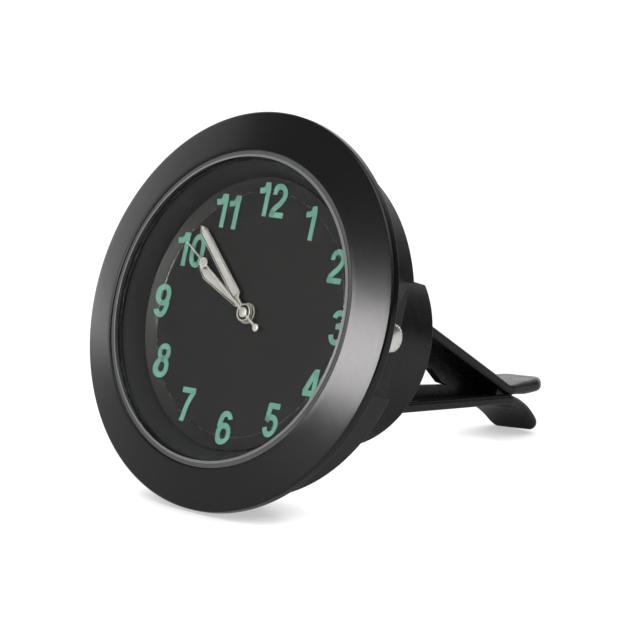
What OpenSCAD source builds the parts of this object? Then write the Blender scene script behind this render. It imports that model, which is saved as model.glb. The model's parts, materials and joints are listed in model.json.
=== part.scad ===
// Small quartz clock for a car: a round watch-like clock with a spring clip on its back.
// The clock is drawn face up, with x to 3 o'clock, y to 12 o'clock and z out of the face.
// Depths are measured backwards from the plane of the bezel's outer edge.

/* [Bezel] */
// Radius of the bezel's outer edge
rim_r = 20; // [19:0.25:22]
// Thickness of the bezel at its outer edge
rim_t = 1.1; // [0.9:0.1:1.2]
// Height of the sloping face above the outer edge
face_rise = 1.24; // [1:0.02:1.5]
// Radius of the opening that holds the glass
sight_r = 15.83; // [15.6:0.01:16]
// Small bevel on the bezel's edges
edge_bevel = 0.15; // [0.05:0.05:0.2]

/* [Glass] */
// Thickness of the glass
glass_t = 1.3; // [1.1:0.05:1.4]
// Width of the polished bevel round the glass
glass_bevel = 0.8; // [0.4:0.1:1]
// Thickness of the nylon ring round the glass
gasket_t = 0.4; // [0.3:0.05:0.5]

/* [Case] */
// Outer radius of the case behind the bezel
case_r = 17.6; // [17.4:0.1:18]
// Depth of the case's back edge
case_depth = 6.3; // [6.3:0.1:6.8]
// Inner radius of the case where the movement sits
movement_bore_r = 14.6; // [14.4:0.1:14.7]
// Length of the flat pocket round the crown
pocket_len = 11.5; // [9:0.5:12]
// Distance of the pocket's floor from the centre
pocket_floor = 16; // [15.9:0.05:16.3]
// Angle by which the clock is turned on its clip
dial_turn = 2.3; // [0:0.1:5]

/* [Dial] */
// Depth of the dial's face
dial_depth = 2.43; // [2.4:0.01:2.5]
// Thickness of the dial
dial_t = 0.35; // [0.3:0.05:0.4]
// Radius of the dial that shows inside the flange
dial_show_r = 13.7; // [13.2:0.1:14]

/* [Hands] */
// Length of the hour hand from the centre
hour_len = 8.7; // [7:0.1:9.5]
// Length of the minute hand from the centre
minute_len = 11.65; // [10:0.05:12.5]
// Length of the second hand from the centre
second_len = 11.45; // [10:0.05:12.5]
// Angle of the hour hand from 12 at rest
hour_angle = 296.8; // [0:0.1:360]
// Angle of the minute hand from 12 at rest
minute_angle = 313.5; // [0:0.1:360]
// Angle of the second hand from 12 at rest
second_angle = 302.5; // [0:0.1:360]
// Thickness of the hour and minute hands
hand_t = 0.14; // [0.1:0.01:0.16]

/* [Crown] */
// Radius of the crown
crown_r = 1.45; // [1.3:0.05:1.6]
// Depth of the stem's axis
stem_depth = 4.05; // [4:0.05:4.2]
// Radius of the stem
stem_r = 0.4; // [0.3:0.05:0.45]
// Travel of the crown when it is pulled to set the time
crown_pull = 0.8; // [0.5:0.1:0.9]

/* [Movement] */
// Radius of the movement's main plate
plate_r = 12.5; // [12.2:0.1:12.6]
// Thickness of the main plate
plate_t = 0.6; // [0.5:0.05:0.65]
// Radius of the battery
battery_r = 3.4; // [2.9:0.1:3.5]
// Thickness of the battery
battery_t = 2; // [1.6:0.05:2.05]
// Thickness of a train wheel
wheel_t = 0.18; // [0.14:0.01:0.2]

/* [Clip] */
// Radius of the clip's round base
base_r = 10.7; // [10:0.1:12]
// Height of the flat on top of the base above the clock's centre
base_flat = 7.2; // [7:0.1:8]
// Depth of the base's back face
base_depth = 17.7; // [16:0.1:20]
// Thickness of the foam pad between the case back and the base
pad_t = 1; // [0.6:0.1:1.5]
// Distance of the clip's middle plane below the clock's centre
clip_drop = 1.16; // [0:0.02:1.5]
// Width of the two leaves
leaf_w = 8; // [6:0.5:9]
// Thickness of a leaf at its root
leaf_t = 1.1; // [0.9:0.05:1.2]
// Thickness of a leaf at its lip
lip_t = 0.8; // [0.6:0.05:1]
// Slope of the upper leaf towards the lower one
upper_slope = 14.6; // [13:0.1:16]
// Slope of the lower leaf towards the upper one
lower_slope = 13; // [11:0.5:16]
// Depth at which the leaves are nearest
elbow_depth = 38.6; // [35:0.1:42]
// Gap between the leaves at their nearest
jaw_gap = 0.12; // [0.08:0.02:0.4]
// Slope at the end of the upper leaf's lip
upper_lip_slope = 17; // [12:1:22]
// Slope at the end of the lower leaf's lip
lower_lip_slope = 37; // [30:1:42]
// Width of a lip at its end, before its corners are rounded
lip_w = 6.1; // [4.5:0.1:7]
// Angle through which a leaf opens
leaf_swing = 8; // [4:1:10]

/* [Hidden] */
$fn = 96;

// Clearances: parts pressed together, parts that turn in each other, parts that pass each other
press_gap = 0.02;
turn_gap = 0.04;
pass_gap = 0.15;

// Bezel and glass
glass_top = -face_rise - 0.04;
glass_back = glass_top + glass_t;
glass_r = sight_r - gasket_t - press_gap;
ledge_t = 0.3;
ledge_r = glass_r - 0.4;
spigot_depth = 2;
spigot_r = sight_r + 0.77;

// Case
shoulder_r = dial_show_r + 1.6;
dial_back = dial_depth + dial_t;
gasket_depth = case_depth - 1;
back_gasket_t = 0.25;
back_seat_r = movement_bore_r + 0.8;
back_face = case_depth + 0.3;
back_inner = case_depth - 0.5;
pocket_front = 2.3;

// Hands: their levels, and the radii of the pipes and arbors that carry them
hour_front = dial_depth - 0.36;
minute_front = hour_front - 0.27;
second_front = minute_front - 0.26;
hour_pipe_r = 0.75;
cannon_r = 0.45;
seconds_arbor_r = 0.2;
hub_r = 0.95;
second_hub_r = 0.9;

// Hands: half widths of the neck, of the bar behind it and where the point starts, and distances from
// the centre at which the neck ends and of the second hand's disc and weight
hour_half = [0.22, 0.36, 0.63];
minute_half = [0.2, 0.58, 0.5];
hour_neck_end = 1.55;
minute_neck_end = 1.9;
hour_point = 1.3;
minute_point = 0.75;
lume_at = 8;
lume_r = 0.52;
tail_at = 2.4;
tail_r = 0.4;

// Movement levels, from the dial to the back
motion_front = dial_back + 0.06;
hour_wheel_back = motion_front + 0.24;
minute_wheel_front = hour_wheel_back + 0.03;
plate_front = minute_wheel_front + 0.2;
plate_back = plate_front + plate_t;
centre_front = plate_back + 0.1;
third_front = centre_front + 0.35;
seconds_front = third_front + 0.35;
bridge_front = seconds_front + 0.4;
bridge_back = bridge_front + 0.35;
rim_in = plate_r - 0.9;
window_w = 4.2;
screw_r = 0.3;
screw_head_r = 0.55;

// Gears: teeth and module of each mesh
rotor_teeth = 8;
intermediate_teeth = 48;
intermediate_pinion = 10;
seconds_teeth = 50;
seconds_pinion = 8;
third_teeth = 64;
third_pinion = 8;
centre_teeth = 60;
cannon_teeth = 12;
minute_teeth = 36;
minute_pinion = 9;
hour_teeth = 36;
setting_teeth = 16;
rotor_module = 0.1;
intermediate_module = 0.12;
third_module = 0.1;
cannon_module = 0.12;
third_distance = third_module*(seconds_pinion + third_teeth)/2;
centre_module = 2*third_distance/(third_pinion + centre_teeth);
minute_distance = cannon_module*(cannon_teeth + minute_teeth)/2;
hour_module = 2*minute_distance/(minute_pinion + hour_teeth);

// Places of the wheels, as angle and distance
third_angle = -40;
train_angle = 115;
motion_angle = 12;
function polar(r, a) = [r*cos(a), r*sin(a)];
third_at = polar(third_distance, third_angle);
intermediate_at = polar(intermediate_module*(intermediate_pinion + seconds_teeth)/2, train_angle);
rotor_at = intermediate_at + polar(rotor_module*(rotor_teeth + intermediate_teeth)/2, train_angle);
minute_at = polar(minute_distance, motion_angle);
setting_at = minute_at + polar(cannon_module*(minute_teeth + setting_teeth)/2, 0);
battery_at = polar(plate_r - battery_r - 1.05, 225);
pillars = [[4.9, 3.6], [-6.8, 1.2], [1.5, -7.4]];
coil_y = 9.3;
coil_ends = [[-4.9, coil_y], [4.9, coil_y]];
pivot_r = 0.16;
rotor_magnet_r = 0.75;

// Stator: a bar with a leg at each end and a round eye for the rotor, narrowed by two notches
stator_front = plate_back + 0.05;
stator_back = stator_front + 0.3;
stator_half = 5.6;
stator_y = 6.2;
stator_bar = 1.2;
stator_leg = 1.4;
stator_eye_r = 1.9;
notch_r = 0.45;

// Coil: its winding, and its core with a square pad at each end
coil_depth = stator_back + 0.45;
coil_r = coil_depth - plate_back - 0.02;
coil_len = 7.4;
core_half = 5.55;
core_w = 0.8;
core_t = 0.36;
core_pad = 1.3;

// Circuit board between two angles, its drop of resin, and the quartz can
board_front = plate_back + 0.8;
board_back = board_front + 0.25;
board_r = 7.2;
board_from = -70;
board_to = -15;
resin_at = polar(9.2, -48);
resin_r = 1.1;
can_r = 0.7;
can_len = 4.6;
can_at = [8.2, 4.9];

// Battery and its strap
battery_front = plate_front + 0.12;
battery_back = battery_front + battery_t;
battery_step = 0.28;
strap_t = 0.1;
strap_w = 1.6;

// Crown and its tube, along the stem's axis from the clock's centre
tube_r = stem_r + 0.35;
crown_in = pocket_floor + 0.5;
crown_len = 1.1;
crown_out = crown_in + crown_len;
flutes = 24;

// The setting works sit in a window of the main plate, from the setting wheel out to the plate's rim
setting_edge = setting_at[0] + cannon_module*(setting_teeth/2 + 0.9);
window_in = setting_edge - 0.1;
clutch_teeth = 14;
clutch_module = 0.107;
clutch_len = 1.1;
clutch_at = setting_edge + pass_gap/2 + crown_pull;
clutch_groove_r = 0.6;
groove_at = clutch_at + clutch_len + 0.5;
groove_len = 0.5;
groove_r = stem_r - 0.15;
finger_gap = 0.06;

// A gear's teeth: four corners each, narrower than half the pitch so that they run freely
root_share = 0.3;
tip_share = 0.12;
tooth = [[-root_share, -1.2], [-tip_share, 0.9], [tip_share, 0.9], [root_share, -1.2]];
function gear_points(n, m, phase) =
    [for (i = [0:n - 1]) for (c = tooth)
        polar(m*(n/2 + c[1]), phase + (i + c[0])*360/n)];
// Turn of gear b that puts its gap against a tooth of gear a, when b lies in the given direction
function mesh_phase(a_teeth, a_phase, b_teeth, direction) =
    direction + 180 - 360/b_teeth*(0.5 - (direction - a_phase)*a_teeth/360);

// Turn of each wheel's teeth at rest, worked out along the train from the seconds wheel
seconds_phase = 0;
intermediate_pinion_phase = mesh_phase(seconds_teeth, seconds_phase, intermediate_pinion, train_angle);
rotor_phase = mesh_phase(intermediate_teeth, 0, rotor_teeth, train_angle);
third_phase = mesh_phase(seconds_pinion, 0, third_teeth, third_angle);
centre_phase = mesh_phase(third_pinion, 0, centre_teeth, third_angle + 180);
minute_phase = mesh_phase(cannon_teeth, 0, minute_teeth, motion_angle);
hour_phase = mesh_phase(minute_pinion, 0, hour_teeth, motion_angle + 180);
setting_phase = mesh_phase(minute_teeth, minute_phase, setting_teeth, 0);

// Clip
pad_back = back_face + pad_t;
base_wall = 1.6;
base_floor = 2.6;
base_rib = 1.2;
base_chamfer = 0.3;
root_depth = base_depth - 1.1;
bead_r = leaf_t/2 + 0.33;
elbow_t = (leaf_t + lip_t)/2;
near_v = (jaw_gap + elbow_t)/2;

// Each leaf's bends: place and radius of its elbow, slope where its lip starts, radius of its lip,
// length of the straight tip, radius of the tip's corners
upper_bends = [elbow_depth, 2, 11, 40, 2.5, 2.8];
lower_bends = [elbow_depth + 1.1, 8.5, 25, 8, 0.7, 1.3];

// Points of a leaf's middle line from its root to its tip, as depth and distance from the middle plane
function leaf_line(bends, slope, lip) = let(
    elbow = [for (i = [0:6]) let(a = -slope + i*(bends[2] + slope)/6)
        [bends[0], near_v] + bends[1]*[sin(a), 1 - cos(a)]],
    curve = [for (i = [1:4]) let(a = bends[2] + i*(lip - bends[2])/4)
        elbow[6] + bends[3]*[sin(a) - sin(bends[2]), cos(bends[2]) - cos(a)]],
    root = [root_depth, elbow[0][1] + (elbow[0][0] - root_depth)*tan(slope)])
    concat([root], elbow, curve, [curve[3] + bends[4]*[cos(lip), sin(lip)]]);
upper_line = leaf_line(upper_bends, upper_slope, upper_lip_slope);
lower_line = leaf_line(lower_bends, lower_slope, lower_lip_slope);
upper_tip = upper_line[len(upper_line) - 1];
lower_tip = lower_line[len(lower_line) - 1];

// The two leaves, as side, slope, middle line and radius of the tip's corners
upper = [1, upper_slope, upper_line, upper_bends[5]];
lower = [-1, lower_slope, lower_line, lower_bends[5]];

// The clock leans back until the lower lip's outer corner and the bezel's edge are on one table
contact = lower_tip + lip_t/2*[-sin(lower_lip_slope), cos(lower_lip_slope)];
rim_contact = rim_t - edge_bevel;
lean = atan((rim_r - clip_drop - contact[1])/(contact[0] - rim_contact));
front_y = min(-(rim_r - edge_bevel)*sin(lean), -sight_r*sin(lean) - face_rise*cos(lean));
tip_inner = upper_tip + lip_t/2*[sin(upper_lip_slope), -cos(upper_lip_slope)];
tip_outer = upper_tip + lip_t/2*[-sin(upper_lip_slope), cos(upper_lip_slope)];
back_y = max(tip_inner[0]*cos(lean) + (tip_inner[1] - clip_drop)*sin(lean),
             tip_outer[0]*cos(lean) + (tip_outer[1] - clip_drop)*sin(lean));
stand_height = rim_r*cos(lean) + rim_contact*sin(lean);

// Stands the clock on the table, with its origin under the middle of its length
module on_table() {
    translate([0, -(front_y + back_y)/2, stand_height]) rotate([90 - lean, 0, 0]) children();
}

// The clock itself sits a little turned on its clip
module in_clock() {
    on_table() rotate([0, 0, dial_turn]) children();
}

// A flat shape made solid between two depths
module slab(front, back) {
    translate([0, 0, -back]) linear_extrude(back - front) children();
}

// A round disc between two depths
module disc(front, back, r) {
    translate([0, 0, -back]) cylinder(h = back - front, r = r);
}

// A ring between two depths
module ring(front, back, outer, inner) {
    difference() {
        disc(front, back, outer);
        disc(front - 1, back + 1, inner);
    }
}

// A profile of radius and depth turned round the axis
module turned(profile) {
    rotate_extrude($fn = 128) polygon([for (p = profile) [p[0], -p[1]]]);
}

module gear(n, m, phase, front, back) {
    slab(front, back) polygon(gear_points(n, m, phase));
}

// A light wheel: a toothed rim with round windows between its spokes
module wheel(n, m, phase, front, windows = 0) {
    r = m*n/2;
    difference() {
        gear(n, m, phase, front, front + wheel_t);
        if (windows > 0)
            for (i = [0:windows - 1]) rotate(i*360/windows)
                translate([r*0.52, 0, 0]) disc(front - 1, front + 1, r*0.24);
    }
}

// Bezel with its sloping face, glass seat and spigot
module bezel() {
    color("#3b3b3d") in_clock() turned([
        [sight_r, -face_rise + 0.1], [sight_r + 0.1, -face_rise],
        [rim_r - edge_bevel, 0], [rim_r, edge_bevel], [rim_r, rim_contact], [rim_r - edge_bevel, rim_t],
        [spigot_r, rim_t], [spigot_r, spigot_depth], [sight_r, spigot_depth],
        [sight_r, glass_back + ledge_t], [ledge_r, glass_back + ledge_t], [ledge_r, glass_back],
        [sight_r, glass_back]]);
}

// Flat glass with a polished bevel
module crystal() {
    color("#e8f0f0", 0.3) in_clock() turned([
        [0, glass_top], [glass_r - glass_bevel, glass_top], [glass_r, glass_top + 0.15],
        [glass_r, glass_back], [0, glass_back]]);
}

// Nylon ring that holds the glass
module crystal_gasket() {
    color("#1a1a1a") in_clock()
        ring(glass_top + 0.2, glass_back, sight_r - press_gap/2, glass_r + press_gap/2);
}

// Sloping inner wall between the glass and the dial
module flange_ring() {
    color("#2c2c2e") in_clock() turned([
        [ledge_r + 0.05, glass_back + ledge_t], [sight_r - 0.08, glass_back + ledge_t],
        [sight_r - 0.08, spigot_depth], [shoulder_r - 0.05, spigot_depth],
        [shoulder_r - 0.05, dial_depth], [dial_show_r, dial_depth]]);
}

// Dial with a hole for the hands
module dial() {
    color("#2f2f31") in_clock() ring(dial_depth, dial_back, shoulder_r - 0.08, 0.98);
}

// A hand of flat pieces points along +y from the centre and is turned clockwise to its angle
module hand(angle, front, hole_r) {
    in_clock() rotate(-angle) difference() {
        for (i = [0:$children - 1]) slab(front, front + hand_t) children(i);
        arbor(front - 1, front + 1, hole_r);
    }
}

// A pointed bar whose half widths are given from its root to where its point starts
module bar(side, tip) {
    polygon(concat([for (p = side) [-p[0], p[1]]], [[0, tip]], [for (i = [len(side) - 1:-1:0]) side[i]]));
}

// Hour hand, widest near its point
module hour_hand() {
    color("#d8d6cc") hand(hour_angle, hour_front, hour_pipe_r) {
        circle(r = hub_r + 0.1);
        bar([[hour_half[0], hub_r - 0.1], [hour_half[0], hour_neck_end], [hour_half[1], hour_neck_end + 0.2],
             [hour_half[2], hour_len - hour_point]], hour_len);
    }
}

// Minute hand with a short neck and a point
module minute_hand() {
    color("#d8d6cc") hand(minute_angle, minute_front, cannon_r) {
        circle(r = hub_r);
        bar([[minute_half[0], hub_r - 0.35], [minute_half[0], minute_neck_end],
             [minute_half[1], minute_neck_end + 0.35], [minute_half[2], minute_len - minute_point]],
            minute_len);
    }
}

// Second hand with a disc near its point and a small weight on its tail
module second_hand() {
    color("#e2e0d8") hand(second_angle, second_front, seconds_arbor_r) {
        circle(r = second_hub_r);
        polygon([[-0.14, 0.5], [-0.05, second_len], [0.05, second_len], [0.14, 0.5]]);
        translate([-0.1, -tail_at]) square([0.2, tail_at - 0.5]);
        translate([0, lume_at]) circle(r = lume_r, $fn = 32);
        translate([0, -tail_at]) circle(r = tail_r, $fn = 32);
    }
}

// Case: a ring with seats for the bezel, dial, movement and back, and a flat pocket at the crown
module case_body() {
    color("#2b2b30") in_clock() difference() {
        turned([
            [spigot_r + press_gap, rim_t], [case_r, rim_t], [case_r, case_depth - edge_bevel],
            [case_r - edge_bevel, case_depth], [back_seat_r, case_depth], [back_seat_r, gasket_depth],
            [movement_bore_r, gasket_depth], [movement_bore_r, dial_back], [shoulder_r, dial_back],
            [shoulder_r, spigot_depth], [spigot_r + press_gap, spigot_depth]]);
        translate([pocket_floor, -pocket_len/2, -case_depth - 1])
            cube([case_r, pocket_len, case_depth + 1 - pocket_front]);
        along_stem(0, case_r, tube_r + press_gap/2);
    }
}

// A round bar or bore on the stem's axis, from one distance to another from the clock's centre
module along_stem(from, to, r) {
    translate([from, 0, -stem_depth]) rotate([0, 90, 0]) cylinder(h = to - from, r = r, $fn = 48);
}

// Snap-on back with a stepped inner side
module case_back() {
    color("#55555a") in_clock() difference() {
        turned([
            [0, back_inner], [movement_bore_r - 0.7, back_inner],
            [movement_bore_r - 0.7, gasket_depth + back_gasket_t],
            [back_seat_r - press_gap, gasket_depth + back_gasket_t],
            [back_seat_r - press_gap, back_face - 0.25],
            [back_seat_r - 0.3, back_face], [0, back_face]]);
        // Notch for the blade that lifts the back
        translate([-1.5, -back_seat_r - 1, -back_face - 1]) cube([3, 1.6, 1.35]);
    }
}

// Flat sealing ring under the back
module back_gasket() {
    color("#171717") in_clock()
        ring(gasket_depth, gasket_depth + back_gasket_t, back_seat_r - 0.05, movement_bore_r + 0.05);
}

// Brass tube that guides the stem through the case
module crown_tube() {
    color("#b08d57") in_clock() difference() {
        along_stem(movement_bore_r + 0.2, pocket_floor + 0.3, tube_r);
        along_stem(0, case_r, stem_r + turn_gap);
    }
}

// Crown with a fluted edge and a shallow dish in its face
module crown() {
    color("#c9c7c2") in_clock() difference() {
        translate([crown_in, 0, -stem_depth]) rotate([0, 90, 0])
            linear_extrude(crown_out - crown_in) polygon([for (i = [0:flutes - 1])
                for (c = [[-0.28, 0.1], [-0.14, 0], [0.14, 0], [0.28, 0.1]])
                    polar(crown_r - c[1], (i + c[0])*360/flutes)]);
        along_stem(crown_out - 0.12, crown_out + 1, crown_r - 0.45);
        along_stem(0, crown_in + 0.6, stem_r);
    }
}

// A groove round a bar on the stem's axis
module stem_groove(at, length, r) {
    difference() {
        along_stem(at, at + length, 2*crown_r);
        along_stem(at - 1, at + length + 1, r);
    }
}

// Steel stem with a groove for the setting lever
module stem() {
    color("#9a9aa0") in_clock() difference() {
        along_stem(window_in - 0.55, crown_in + 0.6, stem_r);
        stem_groove(groove_at, groove_len, groove_r);
    }
}

// Toothed wheel that slides along the stem, in towards the setting wheel as the crown comes out
module clutch_wheel() {
    color("#b9a16a") in_clock() difference() {
        translate([clutch_at, 0, -stem_depth]) rotate([0, 90, 0])
            linear_extrude(clutch_len) polygon(gear_points(clutch_teeth, clutch_module, 0));
        along_stem(0, case_r, stem_r + turn_gap);
        stem_groove(clutch_at + clutch_len/2, clutch_len/3, clutch_groove_r);
    }
}

// A flat piece beside the stem, with a finger that reaches into a groove
module fork(at, length, groove, side) {
    t = 0.5;
    body_len = 1.2;
    body_y = clutch_module*(clutch_teeth/2 + 0.9) + pass_gap;
    translate([at + length/2, 0, -stem_depth]) rotate([side > 0 ? 0 : 180, 0, 0]) {
        translate([finger_gap - length/2, groove + finger_gap, -t/2])
            cube([length - 2*finger_gap, body_y + 0.2 - groove - finger_gap, t]);
        translate([-body_len/2, body_y, -t/2]) cube([body_len, 0.9, t]);
    }
}

// Lever whose finger sits in the stem's groove and moves with it
module setting_lever() {
    color("#8f9096") in_clock() fork(groove_at, groove_len, groove_r, 1);
}

// Yoke whose finger sits in the clutch wheel's groove and moves it the other way
module yoke() {
    color("#8f9096") in_clock() fork(clutch_at + clutch_len/2, clutch_len/3, clutch_groove_r, -1);
}

// Plastic ring that centres the movement in the case
module movement_ring() {
    color("#d9d9d6") in_clock() difference() {
        ring(dial_back, gasket_depth - 0.05, movement_bore_r - 0.05, plate_r + 0.05);
        along_stem(0, case_r, stem_r + pass_gap);
    }
}

// Main plate: a shallow cup with pillars, pivot holes, battery seat and windows
module main_plate() {
    color("#c9b36c") in_clock() difference() {
        union() {
            disc(plate_front, plate_back, plate_r);
            ring(dial_back + 0.02, battery_back, plate_r, rim_in);
            for (p = pillars) translate(p) disc(plate_back, bridge_front, 0.75);
            for (p = coil_ends) translate(p) disc(plate_back, stator_front, 0.7);
            slab(plate_back, board_front) board_seat();
            slab(plate_back, stem_depth + stem_r + 0.3) translate([window_in - 0.9, -0.8]) square([0.9, 1.6]);
        }
        disc(plate_front - 1, plate_back + 1, cannon_r + 0.12);
        for (p = [third_at, rotor_at, intermediate_at]) translate(p)
            disc(plate_front + 0.1, plate_back + 1, pivot_r + turn_gap);
        for (p = [minute_at, setting_at]) translate(p)
            disc(plate_front - 1, plate_back - 0.1, pivot_r + turn_gap);
        translate(battery_at) disc(battery_front, bridge_back + 1, battery_r + pass_gap);
        translate([window_in, -window_w/2, -plate_back - 1]) cube([rim_in - window_in, window_w, plate_back]);
        along_stem(window_in - 0.6, case_r, stem_r + turn_gap);
        for (p = pillars) translate(p) disc(bridge_front - 0.7, bridge_back, screw_r);
        for (p = coil_ends) translate(p) disc(plate_back - 0.4, bridge_back, screw_r);
    }
}

// A part of a ring seen from the front, between two radii and two angles
module sector(inner, outer, from, to) {
    steps = 12;
    arc = [for (i = [0:steps]) from + (to - from)*i/steps];
    polygon(concat([for (a = arc) polar(outer, a)], [for (i = [steps:-1:0]) polar(inner, arc[i])]));
}

// Raised pad of the main plate that carries the circuit board
module board_seat() {
    sector(rim_in - 1.6, rim_in + 0.2, board_from, board_to);
}

// Thin board with the drive chip under a drop of resin
module circuit_board() {
    color("#2f6b45") in_clock() {
        slab(board_front, board_back) sector(board_r, rim_in - 0.2, board_from - 2, board_to + 2);
        translate(resin_at) disc(board_back, board_back + 0.35, resin_r);
    }
}

// Sealed can of the quartz resonator
module quartz_can() {
    color("#c4c6ca") in_clock() translate([can_at[0], can_at[1], -plate_back - can_r]) rotate([0, 90, 120])
        translate([0, 0, -can_len/2]) cylinder(h = can_len, r = can_r, $fn = 48);
}

// Bridge that carries the back pivots of the train
module train_bridge() {
    color("#c9b36c") in_clock() difference() {
        slab(bridge_front, bridge_back) difference() {
            union() {
                circle(r = 2);
                for (p = concat(pillars, [third_at, rotor_at])) {
                    translate(p) circle(r = 1.2);
                    rotate(atan2(p[1], p[0])) translate([0, -0.8]) square([norm(p), 1.6]);
                }
            }
            for (p = pillars) translate(p) circle(r = screw_r + 0.05, $fn = 32);
        }
        for (p = [[0, 0], third_at, rotor_at, intermediate_at]) translate(p)
            disc(bridge_front - 1, bridge_back - 0.08, pivot_r + turn_gap);
    }
}

// A pivot or arbor between two depths
module arbor(front, back, r) {
    translate([0, 0, -back]) cylinder(h = back - front, r = r, $fn = 32);
}

// Hour wheel and its pipe, which carries the hour hand
module hour_wheel() {
    color("#c9b36c") in_clock() difference() {
        union() {
            gear(hour_teeth, hour_module, hour_phase, motion_front, motion_front + 0.2);
            arbor(hour_front, motion_front + 0.2, hour_pipe_r);
        }
        arbor(hour_front - 1, hour_wheel_back + 1, cannon_r + turn_gap);
    }
}

// Minute wheel, from the cannon pinion down to the hour wheel
module minute_wheel() {
    color("#c9b36c") in_clock() translate(minute_at) {
        gear(minute_teeth, cannon_module, minute_phase, minute_wheel_front, minute_wheel_front + 0.16);
        gear(minute_pinion, hour_module, 0, motion_front, minute_wheel_front);
        arbor(minute_wheel_front + 0.16, plate_back - 0.15, pivot_r);
    }
}

// Small wheel that the clutch drives when the time is set
module setting_wheel() {
    color("#c9b36c") in_clock() translate(setting_at) {
        gear(setting_teeth, cannon_module, setting_phase, minute_wheel_front, minute_wheel_front + 0.16);
        arbor(minute_wheel_front + 0.16, plate_back - 0.15, pivot_r);
    }
}

// Centre wheel with its cannon pinion, which carries the minute hand
module centre_wheel() {
    color("#c9b36c") in_clock() difference() {
        union() {
            wheel(centre_teeth, centre_module, centre_phase, centre_front, 5);
            arbor(minute_front, centre_front, cannon_r);
            gear(cannon_teeth, cannon_module, 0, minute_wheel_front, minute_wheel_front + 0.18);
            arbor(centre_front, centre_front + wheel_t + 0.05, 0.7);
        }
        arbor(minute_front - 1, centre_front + 1, seconds_arbor_r + turn_gap);
    }
}

// Third wheel and pinion, between the seconds and the minutes
module third_wheel() {
    color("#c9b36c") in_clock() translate(third_at) {
        wheel(third_teeth, third_module, third_phase, third_front, 5);
        gear(third_pinion, centre_module, 0, centre_front - 0.03, third_front);
        arbor(plate_front + 0.15, bridge_front + 0.2, pivot_r);
    }
}

// Seconds wheel, pinion and the long arbor that carries the second hand
module seconds_wheel() {
    color("#c9b36c") in_clock() {
        wheel(seconds_teeth, intermediate_module, seconds_phase, seconds_front, 4);
        gear(seconds_pinion, third_module, 0, third_front - 0.05, seconds_front);
        arbor(second_front, seconds_front, seconds_arbor_r);
        arbor(seconds_front, bridge_front + 0.2, pivot_r);
    }
}

// Intermediate wheel and pinion, between the rotor and the seconds
module intermediate_wheel() {
    color("#e4e2da") in_clock() translate(intermediate_at) {
        gear(intermediate_teeth, rotor_module, 0, third_front, third_front + wheel_t);
        gear(intermediate_pinion, intermediate_module, intermediate_pinion_phase,
             third_front + wheel_t, seconds_front + wheel_t + 0.05);
        arbor(plate_front + 0.15, bridge_front + 0.2, pivot_r);
    }
}

// Rotor: a small magnet with a pinion
module rotor() {
    color("#e4e2da") in_clock() translate(rotor_at) {
        arbor(stator_front, stator_back, rotor_magnet_r);
        gear(rotor_teeth, rotor_module, rotor_phase, stator_back, third_front + wheel_t + 0.05);
        arbor(plate_front + 0.15, bridge_front + 0.2, pivot_r);
    }
}

// Soft iron plate that leads the coil's field to the rotor
module stator() {
    color("#a7a9ad") in_clock() slab(stator_front, stator_back) difference() {
        union() {
            translate([-stator_half, stator_y]) square([2*stator_half, stator_bar]);
            for (x = [-stator_half, stator_half - stator_leg])
                translate([x, stator_y]) square([stator_leg, coil_y + stator_leg/2 - stator_y]);
            translate(rotor_at) circle(r = stator_eye_r);
        }
        translate(rotor_at) circle(r = rotor_magnet_r + 0.2);
        // Two notches that leave thin necks beside the rotor
        for (a = [0, 180]) translate(rotor_at) rotate(a) translate([0, stator_eye_r])
            circle(r = notch_r, $fn = 32);
        for (p = coil_ends) translate(p) circle(r = screw_r + 0.05, $fn = 32);
    }
}

// Iron core of the coil, with a pad at each end on the stator
module coil_core() {
    color("#a7a9ad") in_clock() difference() {
        union() {
            translate([-core_half, coil_y - core_w/2, -coil_depth - core_t/2])
                cube([2*core_half, core_w, core_t]);
            for (x = [-core_half, core_half - core_pad])
                translate([x, coil_y - core_pad/2, -coil_depth - core_t/2])
                    cube([core_pad, core_pad, coil_depth + core_t/2 - stator_back]);
        }
        for (p = coil_ends) translate(p) disc(0, back_inner, screw_r + 0.05);
    }
}

// Copper winding of the drive coil
module coil() {
    color("#a5572f") in_clock() translate([0, coil_y, -coil_depth]) rotate([0, 90, 0])
        difference() {
            translate([0, 0, -coil_len/2]) cylinder(h = coil_len, r = coil_r, $fn = 48);
            translate([-(core_t + turn_gap)/2, -(core_w + turn_gap)/2, -coil_len])
                cube([core_t + turn_gap, core_w + turn_gap, 2*coil_len]);
        }
}

// Button cell with its stepped edge
module battery() {
    color("#c8cacd") in_clock() translate(battery_at) {
        disc(battery_front, battery_front + battery_step, battery_r - 0.6);
        disc(battery_front + battery_step, battery_back, battery_r);
    }
}

// Thin brass strap that holds the cell and makes its contact
module battery_strap() {
    inner_end = battery_r + 0.2;
    outer_end = plate_r - norm(battery_at) - 0.2;
    color("#c9b36c") in_clock() slab(battery_back, battery_back + strap_t) translate(battery_at)
        rotate(45) translate([-outer_end, -strap_w/2]) square([outer_end + inner_end, strap_w]);
}

// Screws of the train bridge and of the coil
module movement_screws() {
    color("#b9bbc0") in_clock() {
        for (p = pillars) translate(p) screw(bridge_front - 0.6, bridge_back);
        for (p = coil_ends) translate(p) screw(plate_back - 0.3, coil_depth + core_t/2);
    }
}

// A slotted screw from the end of its thread to the underside of its head
module screw(end, seat) {
    arbor(end, seat, screw_r - press_gap);
    difference() {
        arbor(seat, seat + 0.2, screw_head_r);
        translate([-screw_head_r, -0.08, -seat - 1.1]) cube([2*screw_head_r, 0.16, 1]);
    }
}

// Outline of the clip's base: a circle with a flat on top
module base_outline(inset) {
    difference() {
        circle(r = base_r - inset, $fn = 128);
        translate([-base_r, base_flat - inset]) square([2*base_r, base_r]);
    }
}

// Foam pad with glue on both faces
module foam_pad() {
    color("#202022") on_table() slab(back_face, pad_back) base_outline(0.6);
}

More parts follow.
